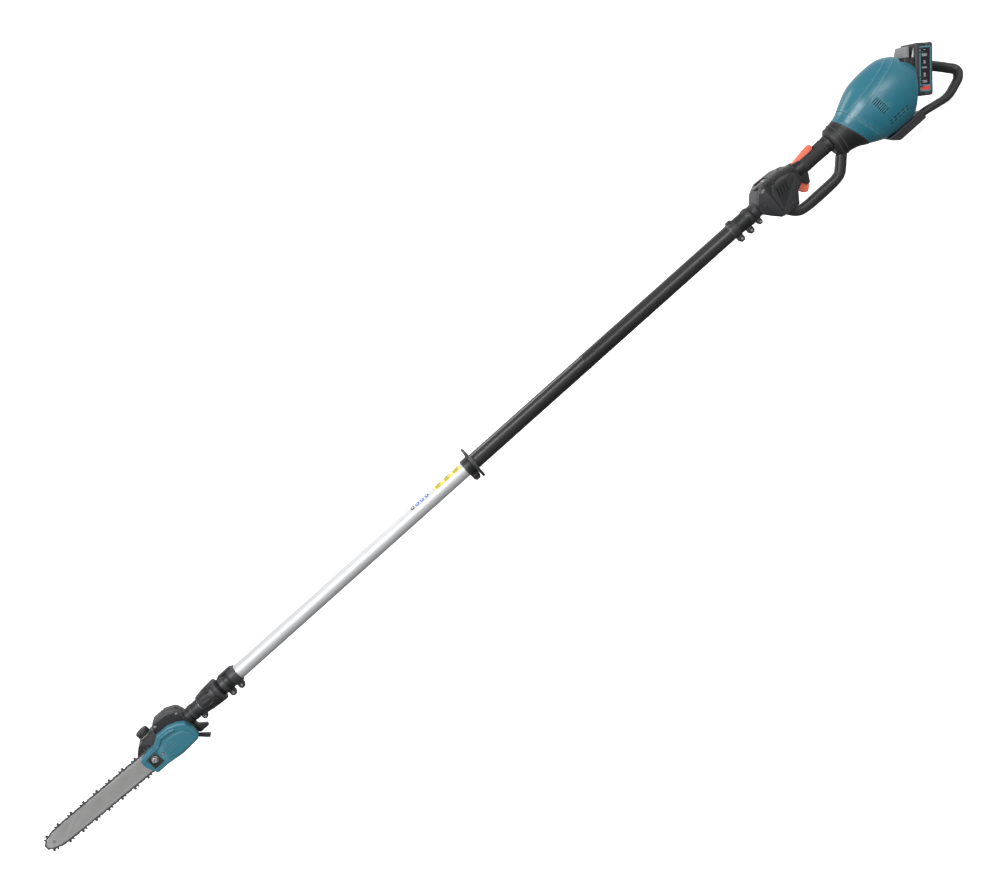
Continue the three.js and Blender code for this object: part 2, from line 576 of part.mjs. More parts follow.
function makeGears() {
  const share = 0.62;
  // Pinion axis along X: its local z becomes world x and its local x becomes world y.
  const pinion = toothedCone(BEVEL_PINION_TEETH, BEVEL_GEAR_REACH, BEVEL_PINION_REACH, share, 0);
  pinion.applyMatrix4(new THREE.Matrix4().makeBasis(
    new THREE.Vector3(0, 1, 0), new THREE.Vector3(0, 0, 1), new THREE.Vector3(1, 0, 0),
  ));
  const pinionTeeth = solid(pinion.translate(GEAR_X, 0, 0));
  piece('bevel_pinion', pinionTeeth.add(rodX(GEAR_X + 13.4, GEAR_X + 19.6, 7, 20)), darkSteel);

  // Gear axis along Y: its local z becomes world y and its local x becomes world x.
  const halfPitch = Math.PI / BEVEL_GEAR_TEETH;
  const gear = toothedCone(BEVEL_GEAR_TEETH, BEVEL_PINION_REACH, BEVEL_GEAR_REACH, share, halfPitch);
  gear.applyMatrix4(new THREE.Matrix4().makeBasis(
    new THREE.Vector3(1, 0, 0), new THREE.Vector3(0, 0, -1), new THREE.Vector3(0, 1, 0),
  ));
  let bevelGear = solid(gear.translate(GEAR_X, 0, 0)).add(rodY(8.9, 14, 12, GEAR_X, 0, 20));
  bevelGear = bevelGear.subtract(rodY(-30, 30, 3.5 + GAP, GEAR_X, 0));
  piece('bevel_gear', bevelGear, darkSteel);

  const spurY0 = -16.5;
  const spurY1 = -11.8;
  const lineAngle = Math.atan2(SPROCKET_Z, SPROCKET_X - GEAR_X);
  const spurPinion = plate(toothedShape(SPUR_PINION_TEETH, 8.2, 10.9, 0.46, 0.2, lineAngle), spurY0, spurY1);
  // The countershaft and its small gear are one piece.
  const counterShaft = solid(new THREE.CylinderGeometry(3.5, 3.5, 40, SMALL_ROUND).translate(GEAR_X, 6.5, 0));
  piece('countershaft', spurPinion.translate(GEAR_X, 0, 0).add(counterShaft), darkSteel);
  const gearAngle = lineAngle + Math.PI + Math.PI / SPUR_GEAR_TEETH;
  const spurGear = plate(toothedShape(SPUR_GEAR_TEETH, 15.8, 18.3, 0.46, 0.2, gearAngle), spurY0, spurY1);
  const bored = spurGear.translate(SPROCKET_X, 0, SPROCKET_Z);
  piece('spur_gear', bored.subtract(rodY(-30, 0, 5 + GAP, SPROCKET_X, SPROCKET_Z)), darkSteel);
}

function makeSprocket() {
  piece('sprocket_shaft', rodY(-27, 24, 5, SPROCKET_X, SPROCKET_Z), darkSteel);
  const teeth = plate(toothedShape(6, 12.5, 17, 0.5, 0.25, 0), BAR_Y - 1.5, BAR_Y + 1.5);
  const drum = rodY(BAR_Y - 3.5, BAR_Y + 2, 12.5, 0, 0, 24);
  const sprocket = teeth.add(drum).translate(SPROCKET_X, 0, SPROCKET_Z);
  piece('chain_sprocket', sprocket.subtract(rodY(-40, 0, 5 + GAP, SPROCKET_X, SPROCKET_Z)), darkSteel);
}

// Half width of the bar at distance u from the sprocket centre, nose excluded.
const NOSE_START = 340;
const NOSE_HALF = 18.7;
function barHalfWidth(u) {
  return BAR_HALF - (BAR_HALF - NOSE_HALF) * (u / NOSE_START) ** 2;
}

// Rail line of the bar, grown outwards, in the bar's own axes: u towards the nose, v up.
function railPoints(grow, rearU) {
  const upper = [];
  const steps = 4;
  for (let i = 0; i <= steps; i += 1) {
    const u = rearU + ((NOSE_START - rearU) * i) / steps;
    upper.push([u, barHalfWidth(u) + grow]);
  }
  const noseSteps = 8;
  const nose = [];
  for (let i = 1; i < noseSteps; i += 1) {
    const angle = Math.PI / 2 - (Math.PI * i) / noseSteps;
    const reachU = BAR_LENGTH - NOSE_START + grow;
    nose.push([NOSE_START + reachU * Math.cos(angle), (NOSE_HALF + grow) * Math.sin(angle)]);
  }
  const lower = upper.map(([u, v]) => [u, -v]).reverse();
  return [...upper, ...nose, ...lower];
}

// Bar axes to the saw's X and Z.
function fromBar(u, v) {
  const cos = Math.cos(BAR_TILT);
  const sin = Math.sin(BAR_TILT);
  return [SPROCKET_X - u * cos + v * sin, SPROCKET_Z + u * sin + v * cos];
}

function barOutline(points) {
  return outline(points.map(([u, v]) => [...fromBar(u, v), 0]));
}

function makeBar() {
  const points = [[25, 11], ...railPoints(0, 62), [25, -11]];
  const y0 = BAR_Y - BAR_THICK / 2;
  const y1 = BAR_Y + BAR_THICK / 2;
  const noseU = BAR_LENGTH - 20;
  const slot = barOutline([[STUD_U - 14, 4.6], [STUD_U + 16, 4.6], [STUD_U + 16, -4.6], [STUD_U - 14, -4.6]]);
  const pocket = rodY(BAR_Y - 0.9, BAR_Y + 0.9, 13.2, ...fromBar(noseU, 0), 24);
  const rivet = rodY(BAR_Y - 2, BAR_Y + 2, 4, ...fromBar(noseU, 0), 12);
  let bar = plate(barOutline(points), y0, y1).subtract(plate(slot, y0 - 1, y1 + 1));
  bar = bar.subtract(pocket.subtract(rivet));
  const mouth = barOutline([[noseU, 11], [BAR_LENGTH + 9, 11], [BAR_LENGTH + 9, -11], [noseU, -11]]);
  bar = bar.subtract(plate(mouth, BAR_Y - 0.9, BAR_Y + 0.9).subtract(rivet));
  piece('guide_bar', bar, barSteel);
  const [noseX, noseZ] = fromBar(noseU, 0);
  const star = plate(toothedShape(9, 9.5, 12.6, 0.5, 0.2, 0), BAR_Y - 0.6, BAR_Y + 0.6).translate(noseX, 0, noseZ);
  piece('nose_sprocket', star.subtract(rodY(-40, 0, 4 + GAP, noseX, noseZ, 12)), darkSteel);
}

// Closed line of the chain round the sprocket and the bar, grown outwards from its inner side.
const CHAIN_REAR_R = 18.2;
const CHAIN_RAIL_GAP = 0.5;
function chainPoints(grow) {
  const rear = [];
  const steps = 8;
  for (let i = 0; i <= steps; i += 1) {
    const angle = -Math.PI / 2 - (Math.PI * i) / steps;
    rear.push([(CHAIN_REAR_R + grow) * Math.cos(angle), (CHAIN_REAR_R + grow) * Math.sin(angle)]);
  }
  return [...railPoints(grow + CHAIN_RAIL_GAP, 60), ...rear];
}

function makeChain() {
  const y0 = BAR_Y - 2.4;
  const y1 = BAR_Y + 2.4;
  const inside = plate(barOutline(chainPoints(0)), y0 - 1, y1 + 1);
  let chain = plate(barOutline(chainPoints(CHAIN_BAND)), y0, y1);
  const runU = 17;
  const pitch = 38.1;
  const perRun = (CUTTER_COUNT - 5) / 2;
  for (let k = 0; k < perRun; k += 1) {
    [1, -1].forEach((side) => {
      const u = runU + 14 + k * pitch + (side > 0 ? 0 : pitch / 2);
      const v = side * (Math.min(barHalfWidth(u), 18.5 + u * 0.05) + CHAIN_BAND - 1);
      const top = v + side * (CUTTER_HEIGHT + 1);
      const nearSide = k % 2 === 0;
      const tooth = barOutline([[u, v], [u + 13, v], [u + 11, top], [u + 1, top]]);
      chain = chain.add(plate(tooth, nearSide ? y0 : BAR_Y, nearSide ? BAR_Y : y1));
    });
  }
  piece('saw_chain', chain.subtract(inside), darkSteel);
}

function makeBarClamp() {
  const [studX, studZ] = fromBar(STUD_U, 0);
  const seat = plate(outline([
    [-2016, -30, 4], [-2016, 4, 4], [-1990, 8, 4], [-1958, 8, 4], [-1958, -34, 4], [-1990, -34, 4],
  ]), -17.5, BAR_Y + BAR_THICK / 2 + GAP, 0);
  piece('bar_seat', seat.subtract(rodY(-40, 0, 4 + GAP, studX, studZ)), darkSteel);
  const studHead = rodY(-17.2, -14, 7, studX, studZ, 6);
  piece('bar_stud', rodY(-42, -15, 4, studX, studZ).add(studHead), screwSteel);
  const nut = turnY([[-47, 0], [-47, 5.5], [-46, 7.5], [-38.3, 7.5], [-38.3, 0]], studX, studZ, 6);
  piece('bar_nut', nut.subtract(rodY(-42.6, -30, 4 + GAP, studX, studZ)), screwSteel);
  piece('tension_screw', rodY(-45.5, -28, 2.6, -1969, -14).subtract(block(-1972, -1966, -47, -44.4, -14.5, -13.5)),
    screwSteel);
}

function makeSprocketCover() {
  const [studX, studZ] = fromBar(STUD_U, 0);
  const outerShape = outline([
    [-2019, -12, 5], [-2018, 6, 5], [-1992, 10.5, 5], [-1974, 11, 8], [-1954, 24, 8], [-1924, 23, 10], [-1903, 15, 8],
    [-1889, 4, 6], [-1883, -20, 6], [-1881.5, -40, 5], [-1887, -47.5, 3], [-1938, -48.5, 8], [-1978, -42, 8],
    [-2010, -41, 5],
  ]);
  const roomShape = outline([
    [-2060, -39, 0], [-2060, 13.5, 0], [-2010, 7.5, 0], [-1974, 8, 6], [-1953, 21, 6], [-1924, 20, 8], [-1905, 12.5, 6],
    [-1892, 3, 5], [-1886, -20, 5], [-1884.5, -38, 4], [-1890, -46.4, 3], [-1938, -46.6, 6], [-1978, -39.4, 6],
  ]);
  const nearY = -44;
  const farY = CASE_NEAR_Y - 0.8;
  let cover = plate(outerShape, nearY, farY, 3).subtract(plate(roomShape, nearY + 3, farY + 10));
  const boss = ringY(nearY + 1, BAR_Y - 2.4 - GAP - 0.3, 9, 4.4, studX, studZ, 18);
  cover = cover.add(boss);
  // A square recess round the nut, with its own floor.
  const recess = (grow, y0, y1) => plate(outline([
    [-2005 - grow, -29 - grow, 5], [-2005 - grow, -1 + grow, 5], [-1979 + grow, -1 + grow, 5],
    [-1979 + grow, -29 - grow, 5],
  ]), y0, y1);
  cover = cover.subtract(recess(0.4, -60, -40.8));
  cover = cover.add(recess(2.4, -41.2, -38.4).subtract(recess(0.4, -60, -40.8)));
  cover = cover.subtract(rodY(-60, -38, 8, studX, studZ, 18)).subtract(rodY(-60, -22, 4.4, studX, studZ, 18));
  cover = cover.subtract(rodY(-60, -30, 3.2, -1969, -14));
  // Room for the chain, which leaves at the front, with the bar in either end of its adjustment.
  const chainRoom = plate(barOutline(chainPoints(CHAIN_BAND + 0.7)), BAR_Y - 4, 0);
  const cutterRoom = barOutline([[20, -32], [20, 32], [140, 34], [140, -34]]);
  cover = cover.subtract(chainRoom).subtract(chainRoom.translate(BAR_ADJUST, 0, 0));
  cover = cover.subtract(plate(cutterRoom, BAR_Y - 4, 0).intersect(block(-2100, -1940, -60, 0, -60, 60)));
  piece('sprocket_cover', cover, teal);
}

const TANK_NEAR_Y = -17.2;

function makeOilTank() {
  const shell = plate(outline([
    [-2020, -20, 6], [-2020, 14, 14], [-2004, 29, 10], [-1980, 31.5, 2], [-1956, 33, 2], [-1956, -30, 4], [-1990, -30, 8],
  ]), TANK_NEAR_Y, CASE_FAR_Y + 3);
  const room = plate(outline([
    [-2017, -18, 4], [-2017, 12, 11], [-2003, 26, 8], [-1980, 28.5, 2], [-1959, 30, 2], [-1959, -27, 3], [-1990, -27, 6],
  ]), -10, CASE_FAR_Y);
  const pocket = rodY(-20, -9, 8.5, ...fromBar(STUD_U, 0), 16);
  const liner = rodY(TANK_NEAR_Y, -8, 11, ...fromBar(STUD_U, 0), 16);
  const capY = 11;
  const capX = -1984;
  const neckRing = rodZ(24, 34, 12.5, capX, capY, 24);
  const mouth = rodZ(20, 40, 10, capX, capY, 24);
  const flatTop = rodZ(32.4, 50, 18, capX, capY, 24);
  const body = shell.subtract(room).add(liner).add(neckRing).subtract(pocket).subtract(mouth).subtract(flatTop);
  piece('oil_tank', body, black);
  const cap = rodZ(33, 48, 15.4, capX, capY, 24).add(rodZ(26, 34, 9.2, capX, capY, 20));
  piece('oil_cap', cap, black);
  piece('oil_pump', rodY(-9, 20, 5, -1966, -20).add(block(-1972, -1960, 4, 16, -26, -14)), grey);
}

function makeHooks() {
  const claw = outline([
    [-1892, -39.5, 0], [-1884, -26, 3], [-1884, -18.7, 0], [-1879, -18.7, 2], [-1877, -28, 4], [-1862, -40, 1],
    [-1863, -46, 1], [-1876, -45, 4], [-1885, -46, 0],
  ]);
  const clawBody = plate(claw, -6, 6).subtract(block(-1900, -1884.2, -20, 20, -39.3, 0));
  piece('branch_hook', clawBody, black);
  const fin = outline([[-1902, -39.3, 0], [-1893, -39.3, 0], [-1870, -60, 1], [-1877, -66, 1]]);
  piece('lower_fin', plate(fin, -17, -7), black);
}

makeTubes();
makeBarrierRing();
makeRearClamp();
makeTubeLock();
makeDriveShafts();
makeHandle();
makeControls();
makeLoopBar();
makeMotorCovers();
makeMotor();
makeRearGuard();
makeBattery();
makeNeck();
makeGearCase();
makeGears();
makeSprocket();
makeBar();
makeChain();
makeBarClamp();
makeSprocketCover();
makeOilTank();
makeHooks();

export default group;
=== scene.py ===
import json
import math

import bpy
from bpy.props import FloatProperty, FloatVectorProperty, IntProperty, PointerProperty
from mathutils import Matrix, Vector


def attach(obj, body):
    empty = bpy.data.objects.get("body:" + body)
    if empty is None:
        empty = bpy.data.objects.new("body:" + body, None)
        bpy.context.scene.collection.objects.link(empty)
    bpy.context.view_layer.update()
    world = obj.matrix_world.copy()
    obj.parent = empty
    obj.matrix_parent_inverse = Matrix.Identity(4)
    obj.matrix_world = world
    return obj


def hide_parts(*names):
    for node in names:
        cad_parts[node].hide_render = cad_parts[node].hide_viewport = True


bl_info = {
    "name": "Telescoping pole saw",
    "version": (1, 0, 0),
    "blender": (4, 5, 0),
    "location": "View3D > Sidebar > Pole Saw",
    "description": "Builds a battery pole saw around its packed frame",
    "category": "Object",
}

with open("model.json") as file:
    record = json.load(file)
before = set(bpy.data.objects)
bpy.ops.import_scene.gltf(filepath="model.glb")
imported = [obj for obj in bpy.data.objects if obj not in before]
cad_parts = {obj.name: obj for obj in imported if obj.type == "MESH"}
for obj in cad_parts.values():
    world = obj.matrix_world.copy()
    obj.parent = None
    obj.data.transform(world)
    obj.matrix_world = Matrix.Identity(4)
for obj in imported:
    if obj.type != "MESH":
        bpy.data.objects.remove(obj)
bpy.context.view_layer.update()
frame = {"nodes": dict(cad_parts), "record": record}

MM = 0.001
AXES = {"X": Vector((1, 0, 0)), "Y": Vector((0, 1, 0)), "Z": Vector((0, 0, 1))}
FACING = {"X": (0, math.pi / 2, 0), "Y": (-math.pi / 2, 0, 0), "Z": (0, 0, 0)}
HULL_Z = -4.0
HULL_WIDTH = 0.8
SPROCKET = (-1912.0, -16.0)
BAR_NUT = (-1992.0, -13.35)
TENSION_SCREW = (-1969.0, -14.0)
OIL_CAP = (-1984.0, 11.0)
GRIP_CENTRE = (0.0, 4.5)
MODE_BUTTON = (-82.0, 0.0)
HANDLE_SIDE = 31.0
EAR_SIDE = 8.0
BAR_Y = -21.0
BAR_TILT = math.radians(1.9)
BAR_LENGTH = 395.0
BAR_HALF_REAR = 21.2
BAR_HALF_NOSE = 18.7
BAR_FACE = 2.3
NOSE_START = 340.0
RIVET_OFFSET = 4.76
CHAIN_LINKS = 46
CHAIN_START = 19.0


# ---------- sizes and colours a user may change ----------

def colour_prop(name, description, value):
    return FloatVectorProperty(name=name, description=description, default=value, size=3,
                               min=0.0, max=1.0, subtype="COLOR")


def length_prop(name, description, value):
    return FloatProperty(name=name, description=description, default=value * MM, min=0.0,
                         subtype="DISTANCE", unit="LENGTH")


class PoleSawSizes(bpy.types.PropertyGroup):
    """Sizes of the pole saw's visible pieces."""
    tube_radius: length_prop("Outer tube radius", "Radius of the silver outer tube", 17.5)
    inner_radius: length_prop("Inner tube radius", "Radius of the telescoping inner tube", 15.0)
    sleeve_radius: length_prop("Sleeve radius", "Radius of the black grip sleeve", 18.6)
    flange_radius: length_prop("Barrier radius", "Radius of the hand barrier's flange", 40.0)
    screw_radius: length_prop("Screw head radius", "Radius of a lug screw's head", 2.9)
    floor_drop: length_prop("Floor drop", "Distance of the floor below the pole's axis", 118.0)
    round_facets: IntProperty(name="Round facets", description="Facets on a turned piece",
                              default=72, min=24, max=160)


class PoleSawColours(bpy.types.PropertyGroup):
    """Colours of the pole saw's finishes."""
    teal: colour_prop("Teal", "Motor housing and sprocket cover plastic", (0.013, 0.140, 0.196))
    black: colour_prop("Black", "Handle and clamp plastic", (0.0072, 0.0076, 0.0086))
    sleeve: colour_prop("Sleeve", "Grip sleeve", (0.0085, 0.0088, 0.0098))
    grey: colour_prop("Grey", "Battery release and display rim", (0.17, 0.18, 0.19))
    orange: colour_prop("Orange", "Trigger and lock-off lever", (0.80, 0.105, 0.045))
    silver: colour_prop("Silver", "Anodised aluminium tube", (0.60, 0.605, 0.615))
    bar: colour_prop("Bar steel", "Guide bar", (0.43, 0.43, 0.425))
    chain: colour_prop("Chain steel", "Saw chain and gears", (0.035, 0.034, 0.034))
    yellow: colour_prop("Label yellow", "Safety label", (0.85, 0.72, 0.03))
    blue: colour_prop("Label blue", "Round safety marks", (0.02, 0.12, 0.50))


def sizes():
    return bpy.context.scene.pole_saw_sizes


def colours():
    return bpy.context.scene.pole_saw_colours


# ---------- finishes ----------

class Finish:
    """Small builder for one procedural material on object coordinates."""

    def __init__(self, name, colour, roughness, metallic=0.0, specular=0.5):
        self.material = bpy.data.materials.new(name)
        self.material.use_nodes = True
        self.material.diffuse_color = (*colour, 1.0)
        self.tree = self.material.node_tree
        self.shader = self.tree.nodes["Principled BSDF"]
        self.colour = colour
        self.shader.inputs["Metallic"].default_value = metallic
        self.shader.inputs["Specular IOR Level"].default_value = specular
        self.shader.inputs["Roughness"].default_value = roughness
        self.shader.inputs["Base Color"].default_value = (*colour, 1.0)
        self.place = self.node("ShaderNodeTexCoord").outputs["Object"]
        self.heights = []

    def node(self, kind, **values):
        node = self.tree.nodes.new(kind)
        for key, value in values.items():
            setattr(node, key, value)
        return node

    def link(self, source, target):
        self.tree.links.new(source, target)

    def noise(self, scale, detail=3.0, stretch=(1.0, 1.0, 1.0)):
        mapping = self.node("ShaderNodeMapping")
        mapping.inputs["Scale"].default_value = stretch
        self.link(self.place, mapping.inputs["Vector"])
        noise = self.node("ShaderNodeTexNoise")
        noise.inputs["Scale"].default_value = scale
        noise.inputs["Detail"].default_value = detail
        self.link(mapping.outputs["Vector"], noise.inputs["Vector"])
        return noise.outputs["Fac"]

    def spread(self, source, low, high, start=0.3, end=0.7):
        node = self.node("ShaderNodeMapRange")
        for key, value in (("From Min", start), ("From Max", end), ("To Min", low), ("To Max", high)):
            node.inputs[key].default_value = value
        self.link(source, node.inputs["Value"])
        return node.outputs["Result"]

    def tint(self, source, darker, lighter, worn=None):
        mix = self.node("ShaderNodeMix", data_type="RGBA")
        mix.inputs["A"].default_value = (*[c * darker for c in self.colour], 1.0)
        mix.inputs["B"].default_value = (*[min(1.0, c * lighter) for c in self.colour], 1.0)
        self.link(source, mix.inputs["Factor"])
        out = mix.outputs["Result"]
        if worn:
            edge = self.node("ShaderNodeNewGeometry").outputs["Pointiness"]
            rubbed = self.spread(edge, 0.0, worn[1], 0.505, 0.56)
            over = self.node("ShaderNodeMix", data_type="RGBA")
            over.inputs["B"].default_value = (*worn[0], 1.0)
            self.link(rubbed, over.inputs["Factor"])
            self.link(out, over.inputs["A"])
            out = over.outputs["Result"]
        self.link(out, self.shader.inputs["Base Color"])

    def shine(self, source, low, high):
        self.link(self.spread(source, low, high), self.shader.inputs["Roughness"])

    def bump(self, source, depth, strength=1.0):
        bump = self.node("ShaderNodeBump")
        bump.inputs["Strength"].default_value = strength
        bump.inputs["Distance"].default_value = depth * MM
        self.link(source, bump.inputs["Height"])
        if self.heights:
            self.link(self.heights[-1], bump.inputs["Normal"])
        self.heights.append(bump.outputs["Normal"])
        self.link(bump.outputs["Normal"], self.shader.inputs["Normal"])


def moulded(name, colour, roughness, grain=2600.0, depth=0.05, worn=(0.10, 0.10, 0.11), wear=0.35):
    finish = Finish(name, colour, roughness, 0.0, 0.5)
    finish.tint(finish.noise(38.0, 4.0), 0.92, 1.08, (worn, wear))
    finish.shine(finish.noise(60.0, 3.0), roughness - 0.02, roughness + 0.035)
    finish.bump(finish.noise(grain, 2.0), depth, 0.4)
    finish.bump(finish.noise(55.0, 2.0), 0.06, 0.25)
    return finish.material


def metal(name, colour, roughness, stretch, depth=0.02, metallic=1.0, blotch=(0.88, 1.08), wear=0.2):
    finish = Finish(name, colour, roughness, metallic)
    finish.tint(finish.noise(30.0, 5.0), blotch[0], blotch[1], ((0.75, 0.75, 0.76), wear))
    finish.shine(finish.noise(420.0, 6.0, stretch), roughness - 0.08, roughness + 0.10)
    finish.bump(finish.noise(900.0, 3.0, stretch), depth, 0.35)
    return finish.material


FINISHES = {}


def make_finishes():
    c = colours()
    pick = {key: tuple(getattr(c, key)) for key in (
        "teal", "black", "sleeve", "grey", "orange", "silver", "bar", "chain", "yellow", "blue")}
    FINISHES.update({
        "teal": moulded("teal moulded plastic", pick["teal"], 0.31, 1100.0, 0.012, (0.25, 0.45, 0.5), 0.25),
        "black": moulded("black moulded plastic", pick["black"], 0.43, 2300.0, 0.07, (0.07, 0.07, 0.075), 0.5),
        "soft_black": moulded("black soft grip", (0.014, 0.0142, 0.0150), 0.68, 1500.0, 0.14,
                              (0.05, 0.05, 0.05), 0.3),
        "sleeve": moulded("black tube sleeve", pick["sleeve"], 0.26, 4200.0, 0.02, (0.09, 0.09, 0.09), 0.2),
        "grey": moulded("grey moulded plastic", pick["grey"], 0.45, 2600.0, 0.04, (0.35, 0.35, 0.36), 0.3),
        "pale": moulded("pale translucent plastic", (0.62, 0.63, 0.60), 0.40, 2600.0, 0.03, (0.8, 0.8, 0.8), 0.2),
        "orange": moulded("orange moulded plastic", pick["orange"], 0.42, 2600.0, 0.04, (0.95, 0.4, 0.28), 0.3),
        "silver": metal("anodised aluminium", pick["silver"], 0.50, (0.05, 1.0, 1.0), 0.015, 0.55, (0.93, 1.05), 0.1),
        "bar": metal("guide bar steel", pick["bar"], 0.42, (0.04, 1.0, 1.0), 0.03, 0.75, (0.84, 1.10), 0.35),
        "chain": metal("chain steel", pick["chain"], 0.36, (1.0, 1.0, 1.0), 0.03, 0.7, (0.6, 1.5), 0.12),
        "screw": metal("screw steel", (0.42, 0.42, 0.43), 0.34, (1.0, 0.2, 1.0), 0.02, 1.0, (0.8, 1.1), 0.3),
        "copper": metal("winding copper", (0.62, 0.26, 0.12), 0.36, (1.0, 0.1, 1.0), 0.05, 0.9),
        "glass": moulded("dark display glass", (0.006, 0.007, 0.009), 0.16, 900.0, 0.004, (0.02, 0.02, 0.02), 0.1),
        "yellow": moulded("yellow label", pick["yellow"], 0.42, 1800.0, 0.01, (0.9, 0.85, 0.5), 0.1),
        "blue": moulded("blue label", pick["blue"], 0.42, 1800.0, 0.01, (0.2, 0.3, 0.6), 0.1),
        "white": moulded("white print", (0.78, 0.79, 0.80), 0.45, 1800.0, 0.01, (0.9, 0.9, 0.9), 0.1),
        "red": moulded("red label", (0.60, 0.03, 0.02), 0.42, 1800.0, 0.01, (0.8, 0.3, 0.2), 0.1),
        "case": moulded("battery case plastic", (0.020, 0.026, 0.031), 0.42, 2500.0, 0.05, (0.09, 0.1, 0.11), 0.4),
    })


SLOT_FINISH = {
    "teal_plastic": "teal", "black_plastic": "black", "sleeve_black": "sleeve", "grey_plastic": "grey",
    "orange_plastic": "orange", "anodised_tube": "silver", "bar_steel": "bar", "dark_steel": "chain",
    "copper": "copper", "screw_steel": "screw", "dark_glass": "glass",
}


# ---------- modelling helpers, in millimetres ----------

def clear():
    if bpy.context.mode != "OBJECT":
        bpy.ops.object.mode_set(mode="OBJECT")
    bpy.ops.object.select_all(action="DESELECT")


def pick(*pieces):
    clear()
    for piece in pieces:
        piece.select_set(True)
    bpy.context.view_layer.objects.active = pieces[0]


def named(piece, name):
    """Names a piece, with an ending where the frame already has that name."""
    if name in frame["nodes"]:
        name += "_skin"
    piece.name = name
    piece.data.name = name
    return piece


def started(name):
    piece = named(bpy.context.active_object, name)
    bpy.ops.object.transform_apply(location=True, rotation=True, scale=True)
    return piece


def edit(piece, mode="FACE"):
    pick(piece)
    bpy.ops.object.mode_set(mode="EDIT")
    bpy.ops.mesh.select_mode(type=mode)
    bpy.ops.mesh.select_all(action="SELECT")


def closed(piece):
    edit(piece)
    bpy.ops.mesh.remove_doubles(threshold=5e-6)
    bpy.ops.mesh.normals_make_consistent(inside=False)
    bpy.ops.object.mode_set(mode="OBJECT")
    return piece


def applied(piece, kind, **values):
    pick(piece)
    modifier = piece.modifiers.new(kind.lower(), kind)
    for key, value in values.items():
        setattr(modifier, key, value)
    bpy.ops.object.modifier_apply(modifier=modifier.name)
    return piece


def bevelled(piece, width, steps=3, angle=32.0):
    return applied(piece, "BEVEL", width=width * MM, segments=steps, limit_method="ANGLE",
                   angle_limit=math.radians(angle), harden_normals=False)


def joined(name, pieces):
    pick(*pieces)
    if len(pieces) > 1:
        bpy.ops.object.join()
    return named(pieces[0], name)


def carved(piece, cutters):
    for cutter in cutters:
        applied(piece, "BOOLEAN", object=cutter, operation="DIFFERENCE", solver="EXACT")
        bpy.data.objects.remove(cutter)
    return piece


def fused(piece, others):
    for other in others:
        applied(piece, "BOOLEAN", object=other, operation="UNION", solver="EXACT")
        bpy.data.objects.remove(other)
    return piece


def copied(piece, name):
    twin = piece.copy()
    twin.data = piece.data.copy()
    twin.name = name
    bpy.context.scene.collection.objects.link(twin)
    return twin


def moved(piece, matrix):
    piece.data.transform(matrix)
    return piece


def narrowed(piece, width):
    """Squeezes a round piece across the saw, about the pole's axis."""
    return moved(piece, Matrix.Diagonal((1, width, 1, 1)))


def sliced(piece, at, normal):
    """Cuts away what lies beyond a plane and closes the cut."""
    edit(piece)
    bpy.ops.mesh.bisect(plane_co=Vector(at) * MM, plane_no=Vector(normal), use_fill=True, clear_outer=True)
    bpy.ops.object.mode_set(mode="OBJECT")
    return closed(piece)


def turned(name, profile, centre=(0.0, 0.0), along="X", facets=None, hollow=False):
    """Ring drawn out through (place, radius) stations; a hollow one comes back to its start."""
    facets = facets or sizes().round_facets
    axis = AXES[along]

    def station(at):
        spots = {"X": (at, *centre), "Y": (centre[0], at, centre[1]), "Z": (*centre, at)}
        return Vector(spots[along]) * MM

    at, radius = profile[0]
    clear()
    bpy.ops.mesh.primitive_circle_add(vertices=facets, radius=radius * MM, location=station(at),
                                      rotation=FACING[along], fill_type="NOTHING" if hollow else "NGON")
    piece = started(name)
    edit(piece, "EDGE" if hollow else "FACE")
    for next_at, next_radius in profile[1:]:
        bpy.ops.mesh.extrude_region_move(TRANSFORM_OT_translate={"value": axis * (next_at - at) * MM})
        if abs(next_radius - radius) > 1e-6:
            ratio = next_radius / radius
            scale = [1.0 if axis[i] else ratio for i in range(3)]
            bpy.ops.transform.resize(value=scale, center_override=station(next_at))
        at, radius = next_at, next_radius
    return closed(piece)


def tube(name, x0, x1, outer, bore, soft=0.4, **more):
    return turned(name, [(x0, bore + soft), (x0, outer - soft), (x0 + soft, outer), (x1 - soft, outer),
                         (x1, outer - soft), (x1, bore + soft), (x1 - soft, bore), (x0 + soft, bore),
                         (x0, bore + soft)], hollow=True, **more)


def rounded(points, steps=5):
    """Outline with each corner given as (u, v) or (u, v, radius) drawn as an arc."""
    loop = []
    count = len(points)
    for i, point in enumerate(points):
        here = Vector(point[:2])
        radius = point[2] if len(point) > 2 else 0.0
        before = Vector(points[i - 1][:2]) - here
        after = Vector(points[(i + 1) % count][:2]) - here
        half = before.angle(after) / 2
        if radius <= 0.05 or half > 1.36:
            loop.append(here)
            continue
        reach = min(radius / math.tan(half), 0.45 * before.length, 0.45 * after.length)
        start = here + before.normalized() * reach
        end = here + after.normalized() * reach
        for k in range(steps + 1):
            t = k / steps
            loop.append((1 - t) ** 2 * start + 2 * t * (1 - t) * here + t * t * end)
    return loop


def outlined(name, points, low, high, along="Y", bevel=0.0, steps=3, corner=0.0):
    """Flat outline drawn out along an axis, with its rims bevelled."""
    loop = rounded([(*p, corner) if len(p) == 2 else p for p in points])
    clear()
    bpy.ops.mesh.primitive_circle_add(vertices=len(loop), radius=1.0, fill_type="NGON")
    piece = started(name)
    for vertex, (u, v) in zip(piece.data.vertices, loop):
        spot = {"Y": (u, low, v), "Z": (u, v, low), "X": (low, u, v)}[along]
        vertex.co = Vector(spot) * MM
    edit(piece)
    bpy.ops.mesh.extrude_region_move(TRANSFORM_OT_translate={"value": AXES[along] * (high - low) * MM})
    closed(piece)
    if bevel:
        bevelled(piece, bevel, steps)
    return piece


